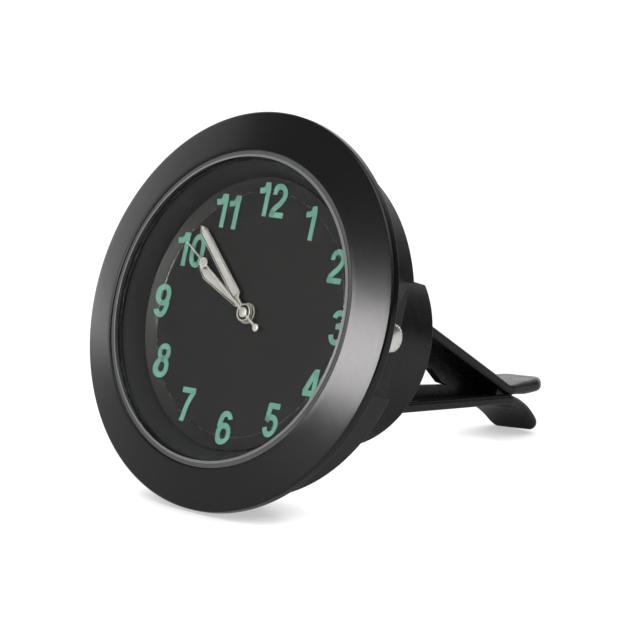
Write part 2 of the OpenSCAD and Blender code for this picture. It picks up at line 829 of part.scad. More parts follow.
// A shape of depth and height carried across the clip's width
module across(width) {
    rotate([0, 90, 0]) linear_extrude(width, center = true) children();
}

// A leaf's root bead, grown by the given gap
module bead(leaf, width, gap) {
    translate([0, leaf[0]*leaf[2][0][1] - clip_drop, -root_depth]) rotate([0, 90, 0])
        cylinder(h = width, r = bead_r + gap, center = true, $fn = 64);
}

// Round base of the clip: a hollow moulding with two slots for the leaves in its back
module clip_base() {
    color("#29292b") on_table() difference() {
        union() {
            slab(pad_back, base_depth - base_chamfer) base_outline(0);
            slab(base_depth - base_chamfer, base_depth) base_outline(base_chamfer);
        }
        difference() {
            slab(pad_back - 1, base_depth - base_floor) base_outline(base_wall);
            for (a = [0, 90]) rotate(a) translate([-base_rib/2, -base_r, -base_depth])
                cube([base_rib, 2*base_r, base_depth - pad_back]);
        }
        for (leaf = [upper, lower]) {
            bead(leaf, leaf_w + 0.4, turn_gap);
            slot(leaf);
        }
    }
}

// Opening in the base's back through which a leaf comes out and swings
module slot(leaf) {
    v = leaf[2][0][1];
    reach = base_depth - root_depth + 1;
    inner = tan(leaf[1])*reach;
    outer = tan(max(0, leaf_swing - leaf[1]))*reach;
    across(leaf_w + 0.4) polygon([for (p = [
        [0, -leaf_t/2 - pass_gap], [reach, -leaf_t/2 - pass_gap - inner],
        [reach, leaf_t/2 + pass_gap + outer], [0, leaf_t/2 + pass_gap]])
            [root_depth + p[0], leaf[0]*(v + p[1]) - clip_drop]]);
}

// Points of a strip along a middle line, which gets thinner with the square of the distance
function strip(line, from, to) = let(n = len(line) - 1,
    side = [for (i = [0:n]) let(
        d = line[min(i + 1, n)] - line[max(i - 1, 0)],
        share = (line[i][0] - line[0][0])/(line[n][0] - line[0][0]),
        half = (from + (to - from)*share^2)/2)
            half*[-d[1], d[0]]/norm(d)])
    concat([for (i = [0:n]) line[i] + side[i]], [for (i = [n:-1:0]) line[i] - side[i]]);

// Outline of a leaf seen from above: straight sides, then a tongue that narrows to round corners
module leaf_outline(tip, corner_r) {
    straight = elbow_depth + 0.6;
    narrow = atan((leaf_w - lip_w)/2/(tip - straight));
    corner = [leaf_w/2 - (tip - corner_r - straight)*tan(narrow) - corner_r/cos(narrow), tip - corner_r];
    side = [[leaf_w/2, root_depth - 2], [leaf_w/2, straight],
            corner + corner_r*[cos(narrow), sin(narrow)], [corner[0], tip]];
    polygon(concat(side, [for (i = [3:-1:0]) [-side[i][0], side[i][1]]]));
    for (s = [-1, 1]) translate([s*corner[0], corner[1]]) circle(r = corner_r);
}

// A sprung leaf with a bead at its root and a flared lip with round corners
module leaf(leaf) {
    line = leaf[2];
    bead(leaf, leaf_w, 0);
    intersection() {
        across(leaf_w) polygon([for (p = strip(line, leaf_t, lip_t)) [p[0], leaf[0]*p[1] - clip_drop]]);
        rotate([-90, 0, 0]) linear_extrude(2*rim_r, center = true)
            leaf_outline(line[len(line) - 1][0] + 0.3, leaf[3]);
    }
}

module upper_leaf() {
    color("#1d1d1f") on_table() leaf(upper);
}

module lower_leaf() {
    color("#1d1d1f") on_table() leaf(lower);
}

bezel();
crystal();
crystal_gasket();
flange_ring();
dial();
hour_hand();
minute_hand();
second_hand();
case_body();
case_back();
back_gasket();
crown_tube();
crown();
stem();
clutch_wheel();
setting_lever();
yoke();
movement_ring();
main_plate();
train_bridge();
hour_wheel();
minute_wheel();
setting_wheel();
centre_wheel();
third_wheel();
seconds_wheel();
intermediate_wheel();
rotor();
stator();
coil_core();
coil();
circuit_board();
quartz_can();
battery();
battery_strap();
movement_screws();
foam_pad();
clip_base();
upper_leaf();
lower_leaf();
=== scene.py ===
"""A small quartz car clock on its spring clip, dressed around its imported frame.

The clock's own frame is used for its round pieces: x to 3 o'clock, y to 12 o'clock, and depth
measured backwards from the plane of the bezel's outer edge, all in millimetres.
"""

import json
import math

import bmesh
import bpy
import numpy as np
from mathutils import Matrix, Vector

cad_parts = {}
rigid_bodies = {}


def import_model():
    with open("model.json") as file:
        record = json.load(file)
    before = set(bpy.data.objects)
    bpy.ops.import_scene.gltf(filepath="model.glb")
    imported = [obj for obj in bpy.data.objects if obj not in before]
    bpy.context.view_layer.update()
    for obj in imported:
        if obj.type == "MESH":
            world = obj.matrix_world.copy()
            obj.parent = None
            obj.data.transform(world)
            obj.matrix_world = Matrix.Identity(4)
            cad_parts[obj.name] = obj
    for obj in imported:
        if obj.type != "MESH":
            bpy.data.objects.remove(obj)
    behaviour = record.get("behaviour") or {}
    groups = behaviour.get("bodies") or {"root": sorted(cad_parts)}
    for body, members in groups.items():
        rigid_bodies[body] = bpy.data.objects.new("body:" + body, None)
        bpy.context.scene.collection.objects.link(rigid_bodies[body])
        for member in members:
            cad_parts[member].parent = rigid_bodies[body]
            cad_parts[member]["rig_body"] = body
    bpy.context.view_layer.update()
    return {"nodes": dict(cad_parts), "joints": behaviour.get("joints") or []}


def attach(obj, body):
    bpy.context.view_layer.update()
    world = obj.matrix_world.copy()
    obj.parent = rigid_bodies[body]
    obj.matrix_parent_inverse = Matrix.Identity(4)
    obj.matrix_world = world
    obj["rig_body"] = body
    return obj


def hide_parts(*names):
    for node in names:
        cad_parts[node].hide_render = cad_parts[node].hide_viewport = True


MM = 0.001
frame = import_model()
JOINTS = {joint["name"]: joint for joint in frame["joints"]}

# The clock's frame, from the joints that turn in it
HANDS_JOINT_DEPTH = 3.5
OUT_OF_FACE = -Vector(JOINTS["seconds_turn"]["axis"]).normalized()
TO_THREE = Vector(JOINTS["crown_turn"]["axis"]).normalized()
TO_TWELVE = OUT_OF_FACE.cross(TO_THREE)
FACE_CENTRE = Vector(JOINTS["seconds_turn"]["pos_m"]) + HANDS_JOINT_DEPTH*MM*OUT_OF_FACE
CLOCK_AXES = np.array([TO_THREE, TO_TWELVE, OUT_OF_FACE])

# Steps round a turned piece, and round a small one
ROUND, SMALL_ROUND = 384, 64

# Distances at which points are merged and edges dropped, and the least angle of a hard edge
MERGE_M, DROP_M, SHARP_DEG = 1e-7, 1e-8, 38

# CAD pieces that are refined: merging distance, angle that counts as flat, least angle of a hard
# edge, and steps in a rounded edge
CAD_MERGE_M, CAD_FLAT_DEG, CAD_SHARP_DEG, CAD_EDGE_STEPS = 2e-6, 0.6, 32, 3

# Bezel: its rim, its sloping face, the opening in front of the glass, and the spigot behind
RIM_R, RIM_T, RIM_EDGE, BEZEL_ARC_R = 19.999, 1.1, 0.15, 0.12
FACE_RISE, FACE_BULGE = 1.24, 0.02
SIGHT_R, SIGHT_EDGE = 15.83, 0.1
SPIGOT_R, SPIGOT_DEPTH = 16.6, 2.0

# Glass, with rings of points that keep its flat faces' normals true: one at a radius, two at
# distances from the edge
GLASS_R, GLASS_TOP, GLASS_BACK = 15.44, -1.28, 0.02
GLASS_BEVEL, GLASS_DROP, GLASS_ARRIS = 0.26, 0.12, 0.05
GUARD_R, GUARD_INNER, GUARD_OUTER = 7, 0.1, 0.02

# Ledge behind the glass, the flange's shoulder on the dial, and the flange's gaps and edges
LEDGE_R, LEDGE_T, SHOULDER_R = 15.01, 0.3, 15.25
WALL_GAP, FLANGE_GAP, FLANGE_ARC_R = 0.08, 0.05, 0.04

# Dial: outside a fine bead, its border is dished and rises towards the glass
DIAL_R, DIAL_SHOW_R, DIAL_DEPTH, DIAL_T, DIAL_HOLE_R = 15.22, 13.7, 2.43, 0.35, 0.98
DIAL_EDGE, DIAL_GAP = 0.04, 0.05
DISH_R, DISH_RISE, DISH_STEP_W, DISH_STEP = 12.4, 0.29, 0.06, 0.02
DISH_RIM_R = DIAL_SHOW_R - DIAL_EDGE
BEAD_W, BEAD_H = 0.07, 0.026

# Least cosine to the clock's outward direction of faces that get a ring's own material
LEAST_FACING = 0.3

# Numerals: reach of their middles, height, and ink's thickness, then shares of the height: stroke,
# digit's width, space beside it, and a 1's step and left space. Last, shifts of single numbers.
NUMERALS_X, NUMERALS_Y, NUMERAL_H, INK_T = 12.0, 11.47, 3.4, 0.035
STROKE, DIGIT_W, DIGIT_SPACE, ONE_STEP, ONE_LEFT = 0.166, 0.57, 0.045, 0.49, 0.01
NUMERAL_SHIFT = {1: (-0.37, -0.23), 2: (-0.17, 0.13), 4: (-0.17, -0.28), 7: (0.31, 0.11),
                 8: (0.15, -0.15), 10: (0.87, -0.27), 11: (0.3, -0.15)}

# Hands: thickness, front faces' depths, angles clockwise from 12, bores, hubs' radii, stretches of
# luminous enamel, and half widths at distances along the hand
HAND_T = 0.14
HAND_FRONT = {"hour": 2.07, "minute": 1.80, "second": 1.54}
HAND_ANGLE = {"hour": 296.8, "minute": 313.5, "second": 302.5}
HAND_BORE = {"hour": 0.75, "minute": 0.45}
HUB_R = {"hour": 1.05, "minute": 0.95}
LUME_STRETCH = {"hour": (2.0, 8.1), "minute": (2.35, 11.1)}
HAND_SHAPE = {"hour": [[0.9, 0.22], [1.55, 0.22], [1.8, 0.37], [7.4, 0.635], [8.65, 0.02]],
              "minute": [[0.7, 0.2], [1.9, 0.2], [2.2, 0.57], [10.8, 0.5], [11.6, 0.02]],
              "second": [[-2.4, 0.13], [0.0, 0.14], [0.6, 0.15], [11.4, 0.085]]}

# Depths below a hand's front face: rims with their shares of the half width, hub, the dark bed
# that is painted shade in the groove between the rims, the enamel, and the needle
HAND_RIM = ((1, 0.06), (0.92, 0), (0.8, 0), (0.78, 0.12))
HUB_DROP, HUB_EDGE_R = 0.02, 0.06
SHADE_BED_SHARE, SHADE_BED_TOP, SHADE_BED_FOOT = 0.775, 0.1, 0.13
LUME_INSET, LUME_CREST, LUME_SIDE, LUME_FOOT = 0.2, 0.015, 0.04, 0.12
NEEDLE_CREST, NEEDLE_SIDE = 0.03, 0.07

# Round parts of the second hand, as radius, bore, depth below the hand's front, place along the
# hand and edges' radius: the hub's ring, its cap, the tail's weight and the luminous dot's ring
TAIL_AT, DOT_AT = -2.4, 8.0
NEEDLE_BOSSES = ((0.9, 0.74, 0.04, 0.0, 0.04), (0.52, 0.0, -0.04, 0.0, 0.06),
                 (0.4, 0.0, 0.03, TAIL_AT, 0.05), (0.52, 0.4, 0.01, DOT_AT, 0.03))
GROOVE_R, GROOVE_BORE, GROOVE_DROP = 0.73, 0.5, 0.11
DOT_R, DOT_LIFT, DOT_EDGE_R = 0.42, 0.02, 0.07

# Crown: its ends along the stem, the stem's bore, and the rim's flutes with half their depth
CROWN_IN, CROWN_OUT, STEM_R, STEM_DEPTH, BORE_DEEP = 16.5, 17.6, 0.4, 4.05, 0.6
FLUTES, FLUTE_STEPS, FLUTE_HALF, FLUTE_FROM_R, FLUTE_RAMP = 24, 12, 0.045, 1.15, 0.25

# The clip, which stands upright while the clock is turned a little in it
DIAL_TURN = 2.3
CLIP_DROP, ROOT_DEPTH, ELBOW_DEPTH, JAW_GAP = 1.16, 16.6, 38.6, 0.12

# A leaf: widths and thicknesses at root and lip, edges' radius, and the bead on its root
LEAF_W, LIP_W, LEAF_T, LIP_T, LEAF_EDGE_R, ROOT_BEAD = 8.0, 6.1, 1.1, 0.86, 0.36, 0.33
# Past the elbow: where it starts to narrow, and the stretch over which its edges get rounder
NARROW_AFTER, FLARE_LENGTH, FLARE_EDGE_R = 0.6, 3.6, 0.25
# Share of its length with points close together, and half its thickness at the very end
TIP_SHARE, END_HALF_T = 0.07, 1e-4
# The elbow stands a little proud inside, so that the two leaves touch: height, place and reach
TOUCH_H, TOUCH_AT, TOUCH_REACH = 0.089, 0.35, 0.8
# Rib and grip pad under a leaf, with the pad's inner edge as depth and distance
RIB_W, PAD_W, PAD_GAP = 1.0, 6.6, 0.01
PAD_EDGE = ((37.2, PAD_GAP), (39.7, PAD_GAP))

# Camera: its x, y and depth, and its right and forward directions as x, y and outward z
CAMERA_AT = (298.5, -26.5, -311.0)
CAMERA_RIGHT = (0.72726, 0.20878, -0.65384)
CAMERA_FORWARD = (-0.67721, 0.06321, -0.73307)
CAMERA_LENS, CAMERA_SENSOR, CAMERA_CLIP = 247.76, 36.0, (0.01, 20.0)

# Lamps: azimuth and elevation in degrees, distance, width and height in metres, radiance, and a
# colour where it isn't white
LAMPS = (("front_box", -8, 18.5, 0.6, 0.28, 0.2, 17.5, (1.0, 0.98, 0.945)),
         ("left_box", -88, 13, 0.6, 0.42, 0.5, 0.85),
         ("left_strip", -88, -1, 0.58, 0.4, 0.08, 1.7),
         ("top_box", 30, 75, 0.8, 0.5, 0.5, 2.0),
         ("right_box", 95, 48, 0.7, 0.5, 0.4, 0.95))

# World: how far a mirrored ray points the camera's way where the backdrop fades in, the heights
# between which the room brightens, its brightness there, and the light for matt surfaces
BACKDROP_FACING, ROOM_HEIGHT, ROOM_LIGHT, MATT_LIGHT = (0.35, 0.7), (0.35, 0.6), (0.1, 0.33), 0.25

# Floor: radii of its rings and sides, reach of the shadow in metres, and the openness of the corner
# between clock and floor with the brightness that it gives
FLOOR_RINGS_M, FLOOR_SIDES = (0.0, 0.05, 0.2, 0.8, 2.5), 96
SHADOW_REACH, SHADOW_OPEN, SHADOW_LIGHT = 0.0042, (0.3, 0.85), (0.5, 1.03)


def in_object(points):
    """Points of the clock's frame, moved to the object's frame in metres."""
    flipped = np.asarray(points, float)*[1, 1, -1]
    return flipped @ CLOCK_AXES*MM + np.array(FACE_CENTRE)


def direction(vector):
    """A direction given in the clock's x, y and outward z, in the object's frame."""
    return Vector(np.asarray(vector, float) @ CLOCK_AXES).normalized()


# Colour and node helpers

# Noise lies mostly between these two values
NOISE_RANGE = (0.3, 0.7)
# A wave texture's phase grows by this many radians for each unit of its scaled place
WAVE_RATE = 20


def linear(hex_colour):
    """An sRGB hex colour as linear red, green, blue and 1."""
    parts = [int(hex_colour[i:i + 2], 16)/255 for i in (1, 3, 5)]
    return tuple(c/12.92 if c <= 0.04045 else ((c + 0.055)/1.055)**2.4 for c in parts) + (1.0,)


def per_metre(size_mm):
    """The scale at which a texture's features are about that many millimetres across."""
    return 1/(size_mm*MM)


def add(tree, kind, sockets=None, **settings):
    """Adds a node with its settings, and fills its sockets with values or with other sockets."""
    made = tree.nodes.new(kind)
    for name, value in settings.items():
        setattr(made, name, value)
    for key, value in (sockets or {}).items():
        if isinstance(value, bpy.types.NodeSocket):
            tree.links.new(value, made.inputs[key])
        else:
            made.inputs[key].default_value = value
    return made


def empty_material(name):
    """A material and its tree, which has no nodes yet."""
    material = bpy.data.materials.new(name)
    material.use_nodes = True
    material.node_tree.nodes.clear()
    return material, material.node_tree


def surface_material(name, sockets):
    """A material with one Principled shader, and its tree."""
    material, tree = empty_material(name)
    shader = add(tree, "ShaderNodeBsdfPrincipled", sockets)
    add(tree, "ShaderNodeOutputMaterial", {"Surface": shader.outputs["BSDF"]})
    return material, tree, shader


def where(tree, stretch=(1, 1, 1)):
    """The place on the piece that a pattern reads, stretched along its axes."""
    source = add(tree, "ShaderNodeTexCoord").outputs["Object"]
    return add(tree, "ShaderNodeMapping", {"Vector": source, "Scale": stretch}).outputs["Vector"]


def grain(tree, place, size_mm, detail=2.0, roughness=0.5):
    """A noise whose features are about size_mm across."""
    return add(tree, "ShaderNodeTexNoise", {
        "Vector": place, "Scale": per_metre(size_mm), "Detail": detail,
        "Roughness": roughness}).outputs["Fac"]


def waves(tree, place, radian_mm, distortion, **settings):
    """Sine waves whose phase grows by one radian in radian_mm."""
    return add(tree, "ShaderNodeTexWave", {
        "Vector": place, "Scale": per_metre(radian_mm)/WAVE_RATE, "Distortion": distortion},
        **settings).outputs["Fac"]


def ranged(tree, value, source, target):
    """A value carried from one range to another, and kept inside it."""
    return add(tree, "ShaderNodeMapRange", {
        "Value": value, "From Min": source[0], "From Max": source[1],
        "To Min": target[0], "To Max": target[1]}).outputs["Result"]


def roughen(tree, shader, factor, low, high):
    """Drives the shader's roughness between two values by a noise or a wave."""
    tree.links.new(ranged(tree, factor, NOISE_RANGE, (low, high)), shader.inputs["Roughness"])


def tint(tree, shader, factor, first, second):
    """Mixes the shader's colour between two sRGB colours by a factor."""
    mixed = add(tree, "ShaderNodeMix", {"Factor": factor}, data_type="RGBA")
    mixed.inputs["A"].default_value = linear(first)
    mixed.inputs["B"].default_value = linear(second)
    tree.links.new(mixed.outputs["Result"], shader.inputs["Base Color"])


def emboss(tree, shader, height, depth_mm):
    """Raises the surface by a pattern whose full height is depth_mm."""
    bump = add(tree, "ShaderNodeBump", {"Height": height, "Distance": depth_mm*MM, "Strength": 1.0})
    tree.links.new(bump.outputs["Normal"], shader.inputs["Normal"])


def bounced(tree, count):
    """1 where a light path has bounced in a way that is counted, and else 0."""
    return add(tree, "ShaderNodeMath", {0: count, 1: 0.5}, operation="GREATER_THAN").outputs[0]


# Materials


def black_plated_steel():
    # Steel, blasted fine and plated black: a dark satin mirror, with grit that glitters in the
    # highlight. It is drawn twice as coarse as real grit, so that it shows.
    material, tree, shader = surface_material("black_plated_steel", {
        "Metallic": 1.0, "Roughness": 0.24})
    place = where(tree)
    grit = grain(tree, place, 0.16, 3.0, 0.65)
    tint(tree, shader, grain(tree, place, 6.0), "#323233", "#353536")
    roughen(tree, shader, grit, 0.2, 0.27)
    emboss(tree, shader, grit, 0.0012)
    return material


def mineral_glass():
    # Polished float glass: clear, with the studio mirrored in it. Lamps reach the dial through it.
    material, tree = empty_material("mineral_glass")
    glass = add(tree, "ShaderNodeBsdfPrincipled", {
        "Base Color": linear("#FFFFFF"), "Roughness": 0.0, "IOR": 1.5, "Transmission Weight": 1.0})
    lamp_ray = add(tree, "ShaderNodeLightPath").outputs["Is Shadow Ray"]
    passing = add(tree, "ShaderNodeBsdfTransparent", {"Color": linear("#F4F7F6")})
    mixed = add(tree, "ShaderNodeMixShader", {
        0: lamp_ray, 1: glass.outputs["BSDF"], 2: passing.outputs["BSDF"]})
    add(tree, "ShaderNodeOutputMaterial", {"Surface": mixed.outputs["Shader"]})
    return material


def ground_glass():
    # The bevel as it leaves the wheel: frosted, so that it rings the glass with a soft light line
    material, tree, shader = surface_material("ground_glass", {"Roughness": 0.35})
    frost = grain(tree, where(tree), 0.15, 3.0)
    tint(tree, shader, frost, "#626464", "#787A7A")
    emboss(tree, shader, frost, 0.004)
    return material


def clear_nylon():
    # Natural nylon, milky and half clear: the seal round the glass shows as a paler grey ring
    material, tree, shader = surface_material("clear_nylon", {"Roughness": 0.3})
    tint(tree, shader, grain(tree, where(tree), 0.8, 3.0), "#454747", "#525454")
    return material


def moulded(name, dark, light, grain_mm, roughness, depth_mm=0.004):
    # Moulded plastic with an even spark-eroded grain: soft wide reflections and a faint mottle
    material, tree, shader = surface_material(name, {
        "Specular IOR Level": 0.36, "Roughness": roughness})
    place = where(tree)
    skin = grain(tree, place, grain_mm, 3.0, 0.6)
    tint(tree, shader, grain(tree, place, 3.5, 3.0), dark, light)
    roughen(tree, shader, grain(tree, place, 1.2), roughness - 0.05, roughness + 0.06)
    emboss(tree, shader, skin, depth_mm)
    return material


def sprayed(name, dark, light, roughness, shine, grain_mm, depth_mm):
    # Sprayed lacquer on brass: an even colour with the fine orange peel of the spray
    material, tree, shader = surface_material(name, {
        "Specular IOR Level": shine, "Roughness": roughness})
    place = where(tree)
    tint(tree, shader, grain(tree, place, 1.8, 4.0), dark, light)
    roughen(tree, shader, grain(tree, place, 0.6), roughness - 0.04, roughness + 0.05)
    emboss(tree, shader, grain(tree, place, grain_mm), depth_mm)
    return material


def metal(name, dark, light, roughness, along_mm=0.2, across_mm=0.2):
    # Bare metal: its colour is in its reflections, with the lines or mottle of how it was worked
    material, tree, shader = surface_material(name, {"Metallic": 1.0, "Roughness": roughness})
    place = where(tree, (across_mm/along_mm, 1.0, 1.0))
    lines = grain(tree, place, across_mm, 3.0)
    tint(tree, shader, grain(tree, place, 1.5, 3.0), dark, light)
    roughen(tree, shader, lines, roughness*0.8, roughness*1.25)
    emboss(tree, shader, lines, 0.002)
    return material


def turned_metal(name, dark, light, roughness):
    # Metal faced on a lathe: shallow rings about the clock's axis, which catch the light in turn
    material, tree, shader = surface_material(name, {"Metallic": 1.0, "Roughness": roughness})
    source = add(tree, "ShaderNodeTexCoord").outputs["Object"]
    lean = Matrix(CLOCK_AXES).to_euler()
    centred = add(tree, "ShaderNodeVectorMath", {0: source, 1: FACE_CENTRE}, operation="SUBTRACT")
    upright = add(tree, "ShaderNodeMapping", {
        "Vector": centred.outputs["Vector"], "Rotation": lean}, vector_type="POINT")
    rings = waves(tree, upright.outputs["Vector"], 0.35, 0.4,
                  wave_type="RINGS", rings_direction="Z")
    tint(tree, shader, grain(tree, source, 2.5, 3.0), dark, light)
    roughen(tree, shader, rings, roughness*0.8, roughness*1.2)
    emboss(tree, shader, rings, 0.004)
    return material


def closed_cell_foam():
    # Polyethylene foam tape: a dull dark edge, pitted by cells of a quarter of a millimetre
    material, tree, shader = surface_material("closed_cell_foam", {"Roughness": 0.9})
    cells = add(tree, "ShaderNodeTexVoronoi", {
        "Vector": where(tree), "Scale": per_metre(0.28)}).outputs["Distance"]
    tint(tree, shader, cells, "#121213", "#2A2A2C")
    emboss(tree, shader, cells, 0.05)
    return material


def enamelled_wire():
    # Copper in clear enamel, wound in even turns; painted highlight on each turn, shade between
    material, tree, shader = surface_material("enamelled_wire", {
        "Metallic": 1.0, "Roughness": 0.28})
    turns_and_shading = waves(tree, where(tree), 0.12, 0.3, bands_direction="X")
    tint(tree, shader, turns_and_shading, "#7A3A1C", "#C0713F")
    emboss(tree, shader, turns_and_shading, 0.02)
    return material


def lacquered_board():
    # Glass-fibre board under green lacquer: a glossy skin over the weave of the cloth
    material, tree, shader = surface_material("lacquered_board", {"Roughness": 0.3})
    weave = add(tree, "ShaderNodeTexChecker", {
        "Vector": where(tree), "Scale": per_metre(0.3)}).outputs["Fac"]
    tint(tree, shader, weave, "#24573A", "#2F6B45")
    emboss(tree, shader, weave, 0.004)
    return material


def pigmented(name, dark, light, roughness, grain_mm, depth_mm):
    # Phosphor in a binder, as printed ink or as enamel: chalky, with a fine grain of pigment
    material, tree, shader = surface_material(name, {"Roughness": roughness})
    pigment = grain(tree, where(tree), grain_mm, 4.0, 0.7)
    tint(tree, shader, pigment, dark, light)
    emboss(tree, shader, pigment, depth_mm)
    return material


BEZEL_PLATE = black_plated_steel()
GLASS = mineral_glass()
GROUND_GLASS = ground_glass()
CLEAR_NYLON = clear_nylon()
CASE_ABS = moulded("case_abs", "#19191B", "#1F1F22", grain_mm=0.12, roughness=0.28, depth_mm=0.002)
CLIP_NYLON = moulded("clip_nylon", "#151516", "#1B1B1D", grain_mm=0.15, roughness=0.26,
                     depth_mm=0.002)
SEAL_NYLON = moulded("seal_nylon", "#0E0E0F", "#161617", grain_mm=0.1, roughness=0.5)
ACETAL = moulded("white_acetal", "#CFCDC4", "#DBD9D0", grain_mm=0.2, roughness=0.4)
FLANGE_LACQUER = sprayed("flange_lacquer", "#212122", "#252526", roughness=0.4, shine=0.15,
                         grain_mm=0.12, depth_mm=0.001)
# The dial's black lacquer, also used for the dark beds that are painted shade in the hands' grooves
DIAL_LACQUER_AND_SHADE = sprayed("dial_lacquer_and_shade", "#131313", "#161616", roughness=0.38, shine=0.15,
                       grain_mm=0.1, depth_mm=0.003)
RING_LACQUER = sprayed("dial_ring_lacquer", "#1B1B1B", "#202020", roughness=0.26, shine=0.4,
                       grain_mm=0.1, depth_mm=0.001)
HAND_STEEL = metal("hand_steel", "#ADA9A2", "#C4C0B8", 0.4, along_mm=1.2, across_mm=0.08)
CROWN_STEEL = metal("crown_steel", "#DCDAD4", "#EDEBE6", 0.2)
WORK_STEEL = metal("work_steel", "#8E9096", "#A9ABB0", 0.3, along_mm=1.5, across_mm=0.1)
BRASS = metal("rolled_brass", "#B69A55", "#CDB26C", 0.3, along_mm=1.5, across_mm=0.12)
BACK_STEEL = turned_metal("turned_back_steel", "#6E6E72", "#85858A", 0.3)
FOAM = closed_cell_foam()
COPPER = enamelled_wire()
BOARD = lacquered_board()
# Screen-printed teal ink, and the off-white enamel in the hands
INK = pigmented("luminous_ink", "#427364", "#4A8372", roughness=0.62, grain_mm=0.14, depth_mm=0.01)
LUME = pigmented("luminous_enamel", "#858481", "#979692", roughness=0.5, grain_mm=0.16,
                 depth_mm=0.015)


# Meshes worked out on grids


def shaded(mesh, sharp_deg):
    """Smooths a mesh's shading and keeps its hard edges hard."""
    mesh.shade_smooth()
    mesh.set_sharp_from_angle(angle=math.radians(sharp_deg))


def finished_mesh(name, corners, faces, uvs=None, sharp_deg=SHARP_DEG):
    """A mesh with doubled points merged and faces turned outwards."""
    mesh = bpy.data.meshes.new(name)
    mesh.from_pydata(corners.tolist(), [], faces.tolist())
    if uvs is not None:
        layer = mesh.uv_layers.new(name="surface_mm")
        layer.data.foreach_set("uv", uvs[faces.ravel()].ravel().astype(np.float32))
    shell = bmesh.new()
    shell.from_mesh(mesh)
    bmesh.ops.remove_doubles(shell, verts=shell.verts, dist=MERGE_M)
    bmesh.ops.dissolve_degenerate(shell, edges=shell.edges, dist=DROP_M)
    bmesh.ops.recalc_face_normals(shell, faces=shell.faces)
    shell.to_mesh(mesh)
    shell.free()
    shaded(mesh, sharp_deg)
    return mesh


def grid_faces(rows, columns, start=0):
    """The quads that join a grid's neighbours, as the numbers of its points."""
    row, column = np.meshgrid(np.arange(rows - 1), np.arange(columns - 1), indexing="ij")
    first = start + row*columns + column
    return np.stack([first, first + 1, first + columns + 1, first + columns], -1).reshape(-1, 4)


def grid_piece(name, sheets, material, body, replaced=(), sharp_deg=SHARP_DEG):
    """One piece from sheets of points of the clock's frame: each grid's neighbours are joined.

    A sheet is an array of rows, columns and x, y, depth. Its map runs along the columns and the
    rows, in metres of the surface, as the running distance between neighbours.
    """
    corners, faces, uvs, start = [], [], [], 0
    for points in sheets:
        rows, columns = points.shape[:2]
        faces.append(grid_faces(rows, columns, start))
        along = np.linalg.norm(np.diff(points, axis=1), axis=2).mean(0)
        down = np.linalg.norm(np.diff(points, axis=0), axis=2).mean(1)
        u, v = np.meshgrid(np.r_[0, along.cumsum()], np.r_[0, down.cumsum()])
        uvs.append(np.stack([u, v], -1).reshape(-1, 2)*MM)
        corners.append(points.reshape(-1, 3))
        start += rows*columns
    mesh = finished_mesh(name, in_object(np.concatenate(corners)), np.concatenate(faces),
                         np.concatenate(uvs), sharp_deg)
    return dressed(bpy.data.objects.new(name, mesh), material, body, replaced)


def dressed(piece, material, body, replaced=()):
    """Puts a piece in the scene with its material, on its body."""
    piece.data.materials.clear()
    piece.data.materials.append(material)
    bpy.context.scene.collection.objects.link(piece)
    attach(piece, body)
    if replaced:
        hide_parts(*replaced)
    return piece


def rounded(corners, radius, steps=5):
    """A closed outline with an arc at each corner.

    An arc touches both sides at radius over the tangent of half the corner's angle from the corner,
    or at 45 percent of the shorter side where that is less. Its points are those of the circle with
    that touch.
    """
    corners = np.asarray(corners, float)
    before, after = np.roll(corners, 1, 0) - corners, np.roll(corners, -1, 0) - corners
    length_before, length_after = np.linalg.norm(before, axis=1), np.linalg.norm(after, axis=1)
    before, after = before/length_before[:, None], after/length_after[:, None]
    half = np.arccos(np.clip((before*after).sum(1), -1, 1))/2
    touch = np.minimum(radius/np.tan(half), 0.45*np.minimum(length_before, length_after))
    arc_r = touch*np.tan(half)
    middle = before + after
    middle /= np.linalg.norm(middle, axis=1)[:, None]
    centre = corners + middle*(arc_r/np.sin(half))[:, None]
    spread = np.linspace(-1, 1, steps)[None, :]*(math.pi/2 - half)[:, None]
    side = after - middle*(after*middle).sum(1)[:, None]
    side /= np.linalg.norm(side, axis=1)[:, None]
    arcs = centre[:, None] + arc_r[:, None, None]*(
        -middle[:, None]*np.cos(spread)[..., None] + side[:, None]*np.sin(spread)[..., None])
    return arcs.reshape(-1, 2)


def turned(profile, columns=ROUND, open_ends=False):
    """A profile of radius and depth carried round the clock's axis: x and y are the radius times
    the cosine and sine of the angle."""
    profile = np.asarray(profile, float)
    if not open_ends:
        profile = np.vstack([profile, profile[:1]])
    angle = np.linspace(0, 2*np.pi, columns + 1)
    radius, depth = profile[:, :1], profile[:, 1:]
    return np.stack(np.broadcast_arrays(radius*np.cos(angle), radius*np.sin(angle), depth), -1)


def turned_clockwise(points, degrees):
    """Points of the dial's plane turned clockwise, as seen from the front."""
    a = math.radians(degrees)
    turn = np.array([[math.cos(a), -math.sin(a), 0], [math.sin(a), math.cos(a), 0], [0, 0, 1]])
    return points @ turn


def closed_ends(rows):
    """The rows of a bar whose last column meets its first, with one more row at each end that has
    all its points at the middle of the end row."""
    ends = [np.repeat(rows[i:i + 1, :-1].mean(1, keepdims=True), rows.shape[1], 1) for i in (0, -1)]
    return np.concatenate([ends[0], rows, ends[1]])


def running(line):
    """The distance run along a line at each of its points."""
    return np.r_[0, np.linalg.norm(np.diff(line, axis=0), axis=1).cumsum()]


def along_line(line, at):
    """The points of a line at these distances along it."""
    return np.stack([np.interp(at, running(line), line[:, i]) for i in (0, 1)], 1)


def normals(line, *at):
    """A line's unit normals: its own direction turned by a quarter turn."""
    along = np.gradient(line, *at, axis=0)
    along /= np.linalg.norm(along, axis=1)[:, None]
    return np.stack([-along[:, 1], along[:, 0]], 1)


# Bezel, glass, flange and dial


